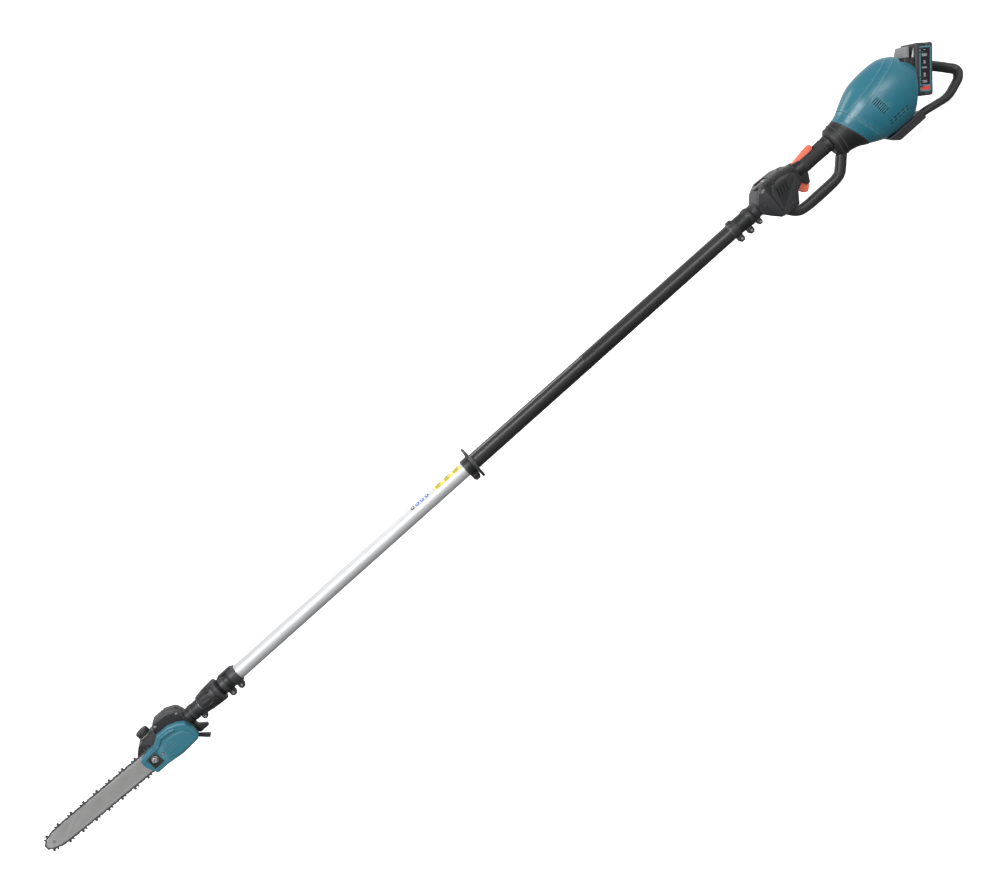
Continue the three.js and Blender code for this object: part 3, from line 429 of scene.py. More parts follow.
def dock_spots(corners):
    """Points on the battery dock's slanted axes, out of the dock and along it, in X and Z."""
    return [(0.8 * out + 0.6 * along, -0.6 * out + 0.8 * along) for out, along in corners]


def dock(out, along):
    """Spans on the battery dock's slanted axes as an outline in X and Z."""
    return dock_spots([(out[0], along[0]), (out[1], along[0]), (out[1], along[1]), (out[0], along[1])])


def smooth_line(points, between=3):
    """Catmull-Rom points through the given ones."""
    line = []
    for i in range(len(points) - 1):
        p = [Vector(points[max(0, min(len(points) - 1, i + k))]) for k in (-1, 0, 1, 2)]
        for step in range(between):
            t = step / between
            line.append(0.5 * (2 * p[1] + (p[2] - p[0]) * t + (2 * p[0] - 5 * p[1] + 4 * p[2] - p[3]) * t * t
                               + (3 * p[1] - p[0] - 3 * p[2] + p[3]) * t ** 3))
    line.append(Vector(points[-1]))
    return [tuple(v) for v in line]


def swept(name, points, half_in_plane, half_across, square=0.72, resolution=7):
    """Bar of squarish section drawn along a curve."""
    clear()
    bpy.ops.curve.primitive_bezier_circle_add(radius=1.0)
    section = bpy.context.active_object
    reach = {0: (-1, 0), 1: (0, 1), 2: (1, 0), 3: (0, -1)}
    for k, point in enumerate(section.data.splines[0].bezier_points):
        point.handle_left_type = point.handle_right_type = "FREE"
        x, y = reach[k][0] * half_across * MM, reach[k][1] * half_in_plane * MM
        if x:
            side = square * half_in_plane * MM * (1 if x < 0 else -1)
            point.co, point.handle_left, point.handle_right = (x, y, 0), (x, y - side, 0), (x, y + side, 0)
        else:
            side = square * half_across * MM * (1 if y > 0 else -1)
            point.co, point.handle_left, point.handle_right = (x, y, 0), (x - side, y, 0), (x + side, y, 0)
    section.data.resolution_u = 6
    bpy.ops.curve.primitive_bezier_curve_add()
    path = bpy.context.active_object
    spline = path.data.splines[0]
    spline.bezier_points.add(len(points) - 2)
    for bezier, spot in zip(spline.bezier_points, points):
        bezier.co = Vector(spot) * MM
        bezier.handle_left_type = bezier.handle_right_type = "AUTO"
    path.data.dimensions = "3D"
    path.data.twist_mode = "MINIMUM"
    path.data.resolution_u = resolution
    path.data.bevel_mode = "OBJECT"
    path.data.bevel_object = section
    path.data.use_fill_caps = True
    pick(path)
    bpy.ops.object.convert(target="MESH")
    bpy.data.objects.remove(section)
    path = bpy.context.active_object
    path.name = name
    path.data.name = name
    return closed(path)


def finished(piece, finish, body, slot, *nodes, angle=35.0):
    """Shades, colours and attaches to its body a piece that stands for CAD nodes, and hides those nodes."""
    pick(piece)
    bpy.ops.object.transform_apply(location=True, rotation=True, scale=True)
    bpy.ops.object.shade_smooth_by_angle(angle=math.radians(angle))
    for modifier in list(piece.modifiers):
        bpy.ops.object.modifier_apply(modifier=modifier.name)
    piece.data.materials.clear()
    piece.data.materials.append(FINISHES[finish])
    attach(piece, body)
    if nodes:
        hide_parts(*nodes)
    return piece


def screw(x, z, y, facing=-1, radius=None, socket=True):
    """Pan-head screw with a star socket, its head towards -Y or +Y."""
    radius = radius or sizes().screw_radius / MM
    head = turned("screw", [(y, radius * 0.98), (y + facing * 1.2, radius), (y + facing * 1.9, radius * 0.82),
                         (y + facing * 2.1, radius * 0.5)], (x, z), "Y", 20)
    if socket:
        star = []
        for k in range(12):
            reach = radius * (0.5 if k % 2 else 0.36)
            star.append((x + reach * math.cos(k * math.pi / 6), z + reach * math.sin(k * math.pi / 6)))
        carved(head, [outlined("socket", star, y + facing * 0.9, y + facing * 3.0)])
    return head


def lug(x, bottom, width, top=-12.0):
    """Clamp ear under the tube, split by a thin slot."""
    w = width / 2
    ear = outlined("ear", [(x - w, top), (x - w, bottom + w * 0.7), (x - w * 0.55, bottom), (x + w * 0.55, bottom),
                           (x + w, bottom + w * 0.7), (x + w, top)], -EAR_SIDE, EAR_SIDE, bevel=1.2, corner=2.0)
    slot = outlined("split", [(x - w - 2, bottom - 3), (x + w + 2, bottom - 3), (x + w + 2, top - 7),
                              (x - w - 2, top - 7)], -0.8, 0.8)
    return carved(ear, [slot])


# ---------- pole ----------

def wrapped(name, x0, x1, angle0, angle1, radius, round_mark=False):
    """Thin label laid on the tube; angles are about the tube, 0 at the top and 90 on the -Y side."""
    clear()
    bpy.ops.mesh.primitive_grid_add(x_subdivisions=14, y_subdivisions=14, size=2.0)
    label = started(name)
    for vertex in label.data.vertices:
        u, v = vertex.co.x, vertex.co.y
        if round_mark:
            u, v = u * math.sqrt(1 - v * v / 2), v * math.sqrt(1 - u * u / 2)
        x = (x0 + x1) / 2 + u * (x1 - x0) / 2
        angle = math.radians((angle0 + angle1) / 2 + v * (angle1 - angle0) / 2)
        vertex.co = Vector((x, -radius * math.sin(angle), radius * math.cos(angle))) * MM
    applied(label, "SOLIDIFY", thickness=0.12 * MM, offset=0.0)
    return closed(label)


def make_tubes():
    s = sizes()
    outer, inner, sleeve = s.tube_radius / MM, s.inner_radius / MM, s.sleeve_radius / MM
    finished(tube("outer_tube_skin", -1757, -120, outer, 15.6), "silver", "pole", "anodised_tube", "outer_tube")
    finished(tube("inner_tube_skin", -1868, -290, inner, 13.2), "silver", "head", "anodised_tube", "inner_tube")
    skin = turned("grip_sleeve", [(-1021, 17.8), (-1021, sleeve - 0.5), (-1020.3, sleeve), (-690, sleeve),
                                  (-688, sleeve + 0.35), (-683, sleeve + 0.35), (-681, sleeve), (-250.6, sleeve),
                                  (-250, sleeve - 0.5), (-250, 17.8), (-1021, 17.8)], hollow=True)
    finished(skin, "sleeve", "pole", "sleeve_black", "pole_sleeve")
    radius = outer + 0.12
    labels = []
    for k in range(3):
        x = -1128 + k * 26
        labels.append(wrapped(f"safety_label_{k + 1}", x, x + 23, 4, 46, radius))
    for k, label in enumerate(labels):
        finished(label, "yellow", "pole", "orange_plastic")
        x = -1128 + k * 26
        for row, (a0, a1) in enumerate(((9, 14), (19, 23), (28, 32), (37, 41))):
            bar = wrapped(f"label_rule_{k + 1}_{row + 1}", x + 3, x + 20 - 4 * (row % 2), a0, a1, radius + 0.12)
            finished(bar, "black" if row % 2 else "glass", "pole", "black_plastic")
    for k, x in enumerate((-1152, -1166, -1180, -1194)):
        mark = wrapped(f"round_mark_{k + 1}", x - 5.2, x + 5.2, 8, 40, radius, True)
        finished(mark, "blue" if k < 3 else "glass", "pole", "black_plastic")
        spot = wrapped(f"round_mark_spot_{k + 1}", x - 2.2, x + 2.2, 18, 30, radius + 0.12, True)
        finished(spot, "white", "pole", "anodised_tube")


def make_barrier_ring():
    flange = sizes().flange_radius / MM
    ring = turned("hand_barrier", [
        (-1048, 17.7), (-1048, 20.2), (-1047.2, 21), (-1031.5, 21), (-1029, 22.5), (-1028.2, 26), (-1028, 31),
        (-1028, flange - 1), (-1027.2, flange - 0.2), (-1025.4, flange), (-1022.8, flange - 0.2),
        (-1022, flange - 1), (-1022, 17.7), (-1048, 17.7)], facets=96, hollow=True)
    ear = lug(-1039, -36, 18, -14)
    ribs = []
    for k in range(12):
        angle = k * math.pi / 6 + math.pi / 12
        rib = outlined("rib", [(-1030, 20.5), (-1027.5, 20.5), (-1027.5, 37)], -0.8, 0.8)
        ribs.append(moved(rib, Matrix.Rotation(angle, 4, "X")))
    ring = joined("hand_barrier", [ring, ear] + ribs)
    finished(ring, "black", "pole", "black_plastic", "barrier_ring")


def make_rear_clamp():
    clamp = turned("rear_clamp", [
        (-249.5, 17.8), (-249.5, 18.5), (-246, 20.0), (-245, 20.4), (-231, 20.4), (-230, 19.8), (-228, 19.2),
        (-206, 19.2), (-203, 19.8), (-199.6, 21), (-199, 21.2), (-191.6, 21.2), (-190.8, 20.8), (-187, 18.8),
        (-186, 18.6), (-168, 18.6), (-168, 17.8), (-249.5, 17.8)], hollow=True)
    ears = [lug(-237.6, -33.5, 15, -16), lug(-209.3, -34, 15, -15), lug(-181.8, -31, 12, -15)]
    bosses = [outlined("clamp_boss", [(-246, 14), (-232, 14), (-232, 21.6), (-235, 23.2), (-243, 23.2), (-246, 21.6)],
                       -6, 6, bevel=1.0, corner=1.5)]
    finished(joined("rear_clamp", [clamp] + ears + bosses), "black", "pole", "black_plastic", "rear_pipe_clamp")


def make_tube_lock():
    body = turned("lock_body", [
        (-1812, 17.8), (-1812, 18.6), (-1786, 18.6), (-1782, 19.6), (-1779.6, 20.6), (-1779, 21.2), (-1768, 21.4),
        (-1767, 20.9), (-1764, 19.8), (-1756, 19.8), (-1753, 20.4), (-1752, 21.2), (-1734, 21.2), (-1733, 20.6),
        (-1733, 17.7), (-1756.6, 17.7), (-1756.6, 15.3), (-1812, 15.3), (-1812, 17.8)], hollow=True)
    ears = [lug(-1771, -33.6, 15, -16), lug(-1746, -33.6, 15, -16)]
    top = outlined("lock_boss", [(-1777, 14), (-1736, 14), (-1736, 22), (-1740, 24), (-1772, 24), (-1777, 22)],
                   -6, 6, bevel=1.0, corner=2.0)
    finished(joined("lock_body", [body, top] + ears), "black", "pole", "black_plastic", "tube_lock_body")
    sleeve = turned("lock_sleeve", [
        (-1843, 19.3), (-1843, 21.6), (-1842, 22.5), (-1836, 23.6), (-1824, 25.6), (-1812, 26.8), (-1801, 27.6),
        (-1799.6, 27.2), (-1798, 27.2), (-1796.8, 28), (-1788.5, 28), (-1787, 26.8), (-1787, 19.3), (-1843, 19.3)],
        facets=112, hollow=True)
    flutes = []
    for k in range(14):
        groove = turned("flute", [(-1846, 1.7), (-1842, 2.0), (-1808, 2.6), (-1803, 1.9), (-1801.4, 0.6)],
                        (0, 0), "X", 12)
        flare = Matrix.Rotation(math.radians(6.2), 4, "Y")
        groove = moved(groove, Matrix.Translation(Vector((-1824, 0, 27.0)) * MM) @ flare
                       @ Matrix.Translation(Vector((1824, 0, 0)) * MM))
        flutes.append(moved(groove, Matrix.Rotation(2 * math.pi * k / 14, 4, "X")))
    carved(sleeve, [joined("flutes", flutes)])
    finished(sleeve, "black", "lock_sleeve", "black_plastic", "tube_lock_sleeve")
    neck = turned("head_collar", [
        (-1884, 15.2), (-1884, 17.6), (-1883, 18.4), (-1872, 18.4), (-1871, 19.2), (-1863, 19.2), (-1862, 18.4),
        (-1847, 18.4), (-1846, 17.4), (-1846, 15.2), (-1884, 15.2)], hollow=True)
    ear = lug(-1853.5, -29.5, 13, -14)
    finished(joined("head_collar", [neck, ear]), "black", "head", "black_plastic", "head_neck")


# ---------- rear handle ----------

BLOCK = [(-172, -14), (-172, 12), (-156, 31), (-134, 42), (-88, 39.5), (-60, 31), (-52, 22), (-54, -8), (-64, -19),
         (-76, -24), (-93, -50), (-126, -50), (-142, -46), (-160, -25)]
WEB = [(-90, 20), (-88, 33), (-54, 28.4), (-38, 23.8), (-30, 22), (-30, -14), (-39.5, -33), (-47, -33), (-57, -17),
       (-76, -25), (-90, -30)]
SIDE_PANEL = [(-131, -42), (-130, 8), (-120, 25), (-96, 27), (-68, 20), (-59.5, 10), (-63, -12), (-78, -24),
              (-93, -44)]


def handle_half(name, node, side):
    """One half of the handle, from the front block through the trigger web to the rear grip."""
    shell = bevelled(outlined("block", BLOCK, -HANDLE_SIDE, HANDLE_SIDE, corner=4.5), 5.0, 4, 40)
    web = bevelled(outlined("web", WEB, -13.5, 13.5, corner=4.0), 4.0, 4, 40)
    grip = turned("grip", [(-60, 17), (-50, 18.6), (-42, 19), (-20, 18.2), (0, 17.8), (24, 18.2), (40, 19),
                           (46, 20.2), (48.5, 20.2)], GRIP_CENTRE, "X", 80)
    narrowed(grip, 0.92)
    panel = bevelled(outlined("panel", SIDE_PANEL, -HANDLE_SIDE - 1.0, HANDLE_SIDE + 1.0, corner=5), 0.9, 2, 40)
    fused(shell, [panel, web, grip])
    bore = outlined("bore", [(-180, -17.6), (-116, -17.6), (-116, 17.6), (-180, 17.6)], -17.6, 17.6)
    cuts = [bevelled(bore, 8, 4, 40),
            outlined("lever_slot", [(-52.2, 15.6), (-40, 14), (16.2, 8), (16.2, 36), (-52.2, 36)], -9.4, 9.4),
            outlined("trigger_slot", [(-84, -5), (-38.1, -5), (-31.3, -60), (-70.2, -60), (-77.2, -34)], -9.4, 9.4),
            outlined("display_seat", [(-151, 38.4), (-111, 38.4), (-111, 48), (-151, 48)], -16, 16)]
    for y0, y1 in ((HANDLE_SIDE - 1.2, HANDLE_SIDE + 3), (-HANDLE_SIDE - 3, -HANDLE_SIDE + 1.2)):
        cuts.append(outlined("front_seam", [(-137, -60), (-135.4, -60), (-132.4, 10), (-140.4, 50), (-142.4, 50),
                                            (-134.2, 10)], y0, y1))
        for k in range(4):
            cuts.append(outlined("side_vent", [(-121 + 8 * k, -8), (-118.6 + 8 * k, -8), (-112.6 + 8 * k, 12),
                                               (-115 + 8 * k, 12)], y0, y1))
    carved(shell, cuts)
    sliced(shell, (0, -0.12 if side < 0 else 0.12, 0), (0, -side, 0))
    finished(shell, "black", "pole", "black_plastic", node, angle=30)
    shell.name = name


def make_handle():
    handle_half("handle_left", "handle_shell_left", -1)
    handle_half("handle_right", "handle_shell_right", 1)
    trigger = outlined("trigger", [(-80, -15), (-76, -10.4), (-56, -10.4), (-52, -24), (-46, -30), (-41.5, -34),
                                   (-48, -42), (-55, -47), (-62, -44), (-71, -30)], -8, 8, bevel=1.0, steps=2)
    finished(trigger, "orange", "trigger", "orange_plastic", "trigger")
    lever = outlined("lock_off", [(-47, 23.6), (-20, 28.6), (12, 32), (13, 27), (11, 20), (-30, 16.4), (-43, 16.4)],
                     -8, 8, bevel=1.3, steps=3, corner=2.0)
    grips = [outlined("lever_rib", [(x, 29.4 + 0.1 * x), (x + 1.2, 29.6 + 0.1 * x), (x + 1.2, 32.2 + 0.06 * x),
                                    (x, 32.0 + 0.06 * x)], -6.4, 6.4, bevel=0.3) for x in (-10, -6, -2, 2, 6)]
    finished(joined("lock_off", [lever] + grips), "orange", "lock_off", "orange_plastic", "lock_off_lever")
    glass = outlined("display_glass", [(-149.5, 38.6), (-112.5, 38.6), (-112.5, 40), (-149.5, 40)], -14.5, 14.5,
                     bevel=0.6)
    finished(glass, "glass", "pole", "dark_glass", "display_panel")
    for k, y in enumerate((-8, -2.7, 2.7, 8)):
        lamp = turned(f"charge_lamp_{k + 1}", [(39.9, 1.5), (40.25, 1.4), (40.35, 0.9)], (-121, y), "Z", 20)
        finished(lamp, "white" if k < 3 else "red", "pole", "grey_plastic")
    cap = turned("mode_button", [(34.5, 5), (38.4, 5), (39.0, 4.6), (39.2, 3.8), (38.9, 2.6), (38.8, 0.6)],
                 MODE_BUTTON, "Z", 40)
    finished(cap, "grey", "mode_button", "grey_plastic", "mode_button")
    rim = turned("mode_button_rim", [(35.0, 5.6), (35.0, 7.4), (38.0, 7.4), (38.7, 7.0), (38.7, 5.9), (38.2, 5.6),
                                     (35.0, 5.6)], MODE_BUTTON, "Z", 40, hollow=True)
    finished(rim, "black", "pole", "black_plastic")
    badge = outlined("oval_badge", [(-149, 27.5), (-146.5, 30), (-138, 32.2), (-135.5, 30), (-138, 27),
                                    (-146.5, 25.4)], -32.6, -31.4, bevel=0.2, corner=2.5)
    finished(badge, "grey", "pole", "grey_plastic")
    grip_pad = turned("grip_pad", [(-30, 18.2), (-28.5, 19.0), (-20, 18.9), (0, 18.5), (24, 18.9), (36, 19.4),
                                   (37.5, 18.4)], GRIP_CENTRE, "X", 80)
    narrowed(grip_pad, 0.93)
    carved(grip_pad, [outlined("lever_window", [(-54, 8), (16, 8), (16, 40), (-54, 40)], -9.6, 9.6)])
    finished(grip_pad, "soft_black", "pole", "black_plastic")


def make_loop_bar():
    bar = swept("loop_bar", [(-120, 0, -40), (-109, 0, -56), (-97, 0, -67), (-80, 0, -71.5), (-45, 0, -71.8),
                             (-8, 0, -71.6), (14, 0, -70.6), (28, 0, -66), (38, 0, -57), (50, 0, -44),
                             (72, 0, -19)], 12.0, 13.4, 0.74)
    room = outlined("block_room", [(-190, 60), (-190, -50.3), (-92.5, -50.3), (-74, -22), (-60, 60)], -40, 40)
    carved(bar, [room])
    hollow = turned("cover_room", [(40, 20), (52, 31.3), (58, 36.3), (82, 39.8), (100, 45.3)], (0, HULL_Z), "X", 64)
    narrowed(hollow, HULL_WIDTH)
    carved(bar, [hollow])
    rib = swept("loop_rib", [(-70, 0, -83.2), (-30, 0, -83.6), (6, 0, -82.6)], 0.9, 8, 0.6)
    finished(joined("loop_bar", [bar, rib]), "black", "pole", "black_plastic", "loop_handle", angle=40)


# ---------- motor housing ----------

HULL = [(49, 24), (52, 31), (58, 36), (70, 38.2), (82, 39.8), (100, 45), (115, 53), (130, 61), (150, 70.5),
        (170, 76.5), (200, 79.5), (225, 79.5), (245, 77.3), (262, 71.5), (278, 62), (292, 49), (302, 34), (309, 12)]


def hull(name, grow=0.0):
    body = turned(name, [(x, r + grow) for x, r in smooth_line(HULL, 3)], (0, HULL_Z), "X", 112)
    return narrowed(body, HULL_WIDTH)


# square to the seam between the front cover and the housing
JOINT_NORMAL = Vector((240, 0, 90)).normalized()


def vents(side):
    slots = []
    for k in range(8):
        x, z = 162 + 0.6 * k, 18 - 5.0 * k
        slots.append(outlined("vent", [(x, z), (x + 17, z + 2.6), (x + 17, z + 4.9), (x, z + 2.3)],
                              side * 50, side * 75, corner=0.8))
    for row in range(2):
        for k in range(5):
            x, z = 170 + 11.5 * k, -42 - 6.5 * row + 0.25 * k
            slots.append(outlined("vent", [(x, z), (x + 8, z + 0.4), (x + 8.6, z + 3), (x + 0.6, z + 2.6)],
                                  side * 40, side * 75, corner=0.6))
    return slots


def trimmed_hull(name, grow):
    """Housing's outer form with its flat bottom and the battery dock cut out."""
    body = hull(name, grow)
    sliced(body, (0, 0, -78), (0, 0, -1))
    sliced(body, (0.8 * 229.3, 0, -0.6 * 229.3), (0.8, 0, -0.6))
    return carved(body, [outlined("channel", dock((196, 240), (123, 320)), -33.5, 33.5)])


def make_motor_covers():
    whole = trimmed_hull("whole_hull", 0.0)
    front = copied(whole, "front_cover")
    sliced(front, (53 - 0.4, 0, 120), JOINT_NORMAL)
    rings = [turned("cover_ring", [(56.5, 33), (57.5, 37.4), (59.5, 37.6), (60.5, 34)], (0, HULL_Z), "X", 96),
             turned("cover_ring", [(69, 37), (70, 39.6), (72, 39.8), (73, 37)], (0, HULL_Z), "X", 96)]
    for ring in rings:
        narrowed(ring, HULL_WIDTH)
    joined("front_cover", [front] + rings)
    finished(front, "black", "pole", "black_plastic", "motor_front_cover", angle=28)
    bpy.data.objects.remove(whole)
    rest = trimmed_hull("housing", -1.5)
    for grow, low, high in ((-0.7, 2, 50), (0.0, 22, 64)):
        ridge = trimmed_hull("ridge", grow)
        sliced(ridge, (60, 0, low), Vector((high - low, 0, -190)).normalized())
        fused(rest, [ridge])
    sliced(rest, (53 + 0.5, 0, 120), -JOINT_NORMAL)
    groove = hull("groove_outer", 1.0)
    carved(groove, [hull("groove_inner", -2.4)])
    sliced(groove, (80.5, 0, 120), JOINT_NORMAL)
    sliced(groove, (79.0, 0, 120), -JOINT_NORMAL)
    carved(rest, [groove])
    for name, node, side in (("housing_left", "motor_housing_left", -1), ("housing_right", "motor_housing_right", 1)):
        half = copied(rest, name)
        sliced(half, (0, side * 0.15, 0), (0, -side, 0))
        carved(half, [joined("vents", vents(side))])
        finished(half, "teal", "pole", "teal_plastic", node, angle=28)
    bpy.data.objects.remove(rest)


def make_rear_guard():
    foot = outlined("rear_guard", [(160, -78.3), (178, -98.8, 6), (256, -98.8, 3), (256, -78.3)], -20, 20,
                    bevel=2.5, steps=4)
    bar = swept("guard_bar", [(232, 0, -89), (262, 0, -89.6), (300, 2, -96.5), (330, 8, -102), (362, 20, -98.5),
                              (392, 34, -89), (398.6, 42, -79), (387.6, 50, -62), (366, 55, -38), (335, 57, -6),
                              (300, 54, 18), (262, 50, 26)],
                8.8, 11.6, 0.74)
    pad = outlined("guard_pad", [(168, -79), (250, -79), (250, -84), (172, -84)], -23, 23, bevel=1.5)
    guard = fused(foot, [bar])
    room = hull("hull_room", 0.3)
    sliced(room, (0, 0, -78.3), (0, 0, -1))
    sit = outlined("battery_room", dock((186, 272.4), (117, 460)), -40, 40.6)
    carved(guard, [room, sit])
    guard = joined("rear_guard", [guard, pad])
    finished(guard, "black", "pole", "black_plastic", "rear_guard", angle=40)


def make_battery():
    case = outlined("battery_case", dock((252.2, 271), (123, 237)), -39, 39, bevel=4.0, steps=5)
    band = outlined("case_band", dock((262.5, 264), (122.4, 237.6)), -39.6, 39.6, bevel=0.5)
    ribs = [outlined("case_rib", dock((270.2, 271.6), (a, a + 2.4)), -24, 24, bevel=0.5) for a in range(150, 216, 11)]
    finished(joined("battery_case", [case, band] + ribs), "case", "battery", "black_plastic", "battery_case")
    tray = outlined("battery_tray", dock((229.6, 251.8), (123, 237)), -39, 39, bevel=3.0, steps=4)
    shoulder = outlined("battery_shoulder", dock((207, 231), (131, 231)), -30, 30, bevel=2.5, steps=4)
    seat = outlined("button_seat", dock((200, 223.6), (205.5, 240)), -40, 40)
    carved(shoulder, [seat])
    nibs = [outlined("side_nib", dock((233, 248), (a, a + 4)), -39.8, 39.8, bevel=0.6)
            for a in (140, 150, 160, 214, 222)]
    finished(joined("battery_tray", [tray, shoulder] + nibs), "black", "battery", "black_plastic", "battery_tray")
    button = outlined("battery_button", dock_spots([(207.4, 206.5), (219.4, 206.5), (219.4, 231), (213, 231)]),
                      -29.5, 29.5, bevel=1.8, steps=4, corner=1.5)
    lines = [outlined("button_rib", dock((206.4 + (a - 206) * 0.27, 208.8 + (a - 206) * 0.27), (a, a + 1.6)), -18, 18)
             for a in (211, 215, 219, 223)]
    finished(joined("battery_button", [button] + lines), "grey", "battery_button", "grey_plastic", "battery_button")
    wedge = dock_spots([(224.2, 207), (229.2, 207), (229.2, 229)])
    finished(outlined("release_wedge", wedge, -30.6, 30.6, bevel=0.3), "pale", "battery", "grey_plastic")
    layers = ((38.9, 39.35), (39.2, 39.55), (39.45, 39.75))
    for side, end in ((-1, "near"), (1, "far")):
        border_y, field_y, bar_y = [sorted((side * low, side * high)) for low, high in layers]
        border = outlined(f"label_border_{end}", dock((239, 266), (131, 229)), *border_y, corner=3.0)
        finished(border, "teal", "battery", "teal_plastic")
        field = outlined(f"label_field_{end}", dock((241.5, 263.5), (146, 226)), *field_y, corner=2.0)
        finished(field, "glass", "battery", "dark_glass")
        corner = outlined(f"label_corner_{end}", dock((241.5, 263.5), (134, 143)), *field_y, corner=1.0)
        finished(corner, "red", "battery", "orange_plastic")
        for k, (a, reach) in enumerate(((150, 9), (163, 14), (181, 6), (191, 12), (207, 10), (220, 3))):
            across = (244 + 4 * (k % 2), 256 - 3 * (k % 2))
            rule = outlined(f"label_bar_{end}_{k + 1}", dock(across, (a, a + 0.6 * reach)), *bar_y, corner=0.8)
            finished(rule, "grey", "battery", "grey_plastic")


# ---------- saw head ----------

def make_gear_case():
    case = outlined("gear_case", [(-1955, -30), (-1955, 40, 8), (-1946, 46.5, 9), (-1912, 45, 22), (-1890, 34, 16),
                                  (-1884.5, 16, 3), (-1884.5, -30), (-1892, -39, 5), (-1930, -39, 5)], -18, 30,
                    bevel=4.5, steps=5)
    ribs = [outlined("case_rib", [(x, 30), (x + 2.2, 30), (x + 2.2, 46.6), (x, 46.9)], -12, 26, bevel=0.8)
            for x in (-1941, -1933, -1925, -1917)]
    seam = outlined("case_seam", [(-1955.3, -29), (-1955.3, 40.5), (-1946.2, 47), (-1911.6, 45.6), (-1889.4, 34.4),
                                  (-1884.2, 16), (-1884.2, -30), (-1891.8, -39.6), (-1930, -39.6)], 5.4, 7.0,
                    corner=4)
    finished(joined("gear_case", [case, seam] + ribs), "black", "head", "black_plastic", "gear_case")
    tank = outlined("oil_tank", [(-2026, -21, 10), (-2026, 10, 12), (-2006, 28, 12), (-1980, 31.5, 8), (-1956, 33, 2),
                                 (-1956, -30, 2), (-1990, -30, 8)], -17, 33, bevel=5.0, steps=5)
    mouth = turned("tank_mouth", [(30, 17), (31.6, 17), (32.4, 16.4), (32.4, 15.8)], OIL_CAP, "Z", 56)
    finished(joined("oil_tank", [tank, mouth]), "black", "head", "black_plastic", "oil_tank")
    window = outlined("tank_window", [(-2026.6, -4, 3), (-2026.6, 10, 5), (-2010, 25.6, 5), (-2002, 27.2, 3),
                                      (-2002, -4, 3)], 8, 30, bevel=1.2)
    finished(window, "pale", "head", "grey_plastic")
    cap = turned("oil_cap", [(33, 14.2), (34, 15.2), (37, 15.4), (44.5, 15.4), (46.5, 14.6), (47.6, 12.6), (48, 10),
                             (47.4, 9.4), (47.2, 1)], OIL_CAP, "Z", 90)
    notches = [turned("notch", [(36.8, 1.0), (50, 1.0)],
                      (OIL_CAP[0] + 15.7 * math.cos(a), OIL_CAP[1] + 15.7 * math.sin(a)), "Z", 10)
               for a in [math.radians(15 * k) for k in range(24)]]
    carved(cap, [joined("notches", notches)])
    wing = outlined("cap_wing", [(-1996, 47), (-1972, 47), (-1974, 48.0), (-1994, 48.0)], 9, 13)
    finished(joined("oil_cap", [cap, wing]), "black", "cap", "black_plastic", "oil_cap")
    ring = turned("cap_seal", [(32.3, 12.8), (32.3, 15.1), (32.9, 15.1), (32.9, 12.8), (32.3, 12.8)],
                  OIL_CAP, "Z", 56, hollow=True)
    finished(ring, "pale", "head", "grey_plastic")
    hook = outlined("branch_hook", [(-1892, -39.5), (-1884, -26), (-1884, -18.7), (-1879, -18.7), (-1877, -28),
                                    (-1862, -40), (-1863, -46), (-1876, -45), (-1885, -46)], -6, 6,
                    bevel=1.6, steps=4, corner=1.6)
    finished(hook, "black", "head", "black_plastic", "branch_hook")
    fin = outlined("lower_fin", [(-1902, -39.3), (-1893, -39.3), (-1870, -60), (-1877, -66)], -17, -7,
                   bevel=1.8, steps=4, corner=2)
    finished(fin, "black", "head", "black_plastic", "lower_fin")


def on_bar(u, v):
    """Place in X and Z of a point u along and v across the tilted bar."""
    c, s = math.cos(BAR_TILT), math.sin(BAR_TILT)
    return (SPROCKET[0] - u * c + v * s, SPROCKET[1] + u * s + v * c)


def bar_half(u):
    """Half of the bar's width, which narrows towards the nose."""
    return BAR_HALF_REAR - (BAR_HALF_REAR - BAR_HALF_NOSE) * (u / NOSE_START) ** 2


def rail(grow, rear, steps=10, nose_steps=20):
    """The bar's rim, from the rear round the nose and back, moved out by grow."""
    stations = [rear + (NOSE_START - rear) * i / steps for i in range(steps + 1)]
    upper = [(u, bar_half(u) + grow) for u in stations]
    nose = []
    for i in range(1, nose_steps):
        a = math.pi / 2 - math.pi * i / nose_steps
        nose.append((NOSE_START + (BAR_LENGTH - NOSE_START + grow) * math.cos(a),
                     (BAR_HALF_NOSE + grow) * math.sin(a)))
    return upper + nose + [(u, -v) for u, v in reversed(upper)]


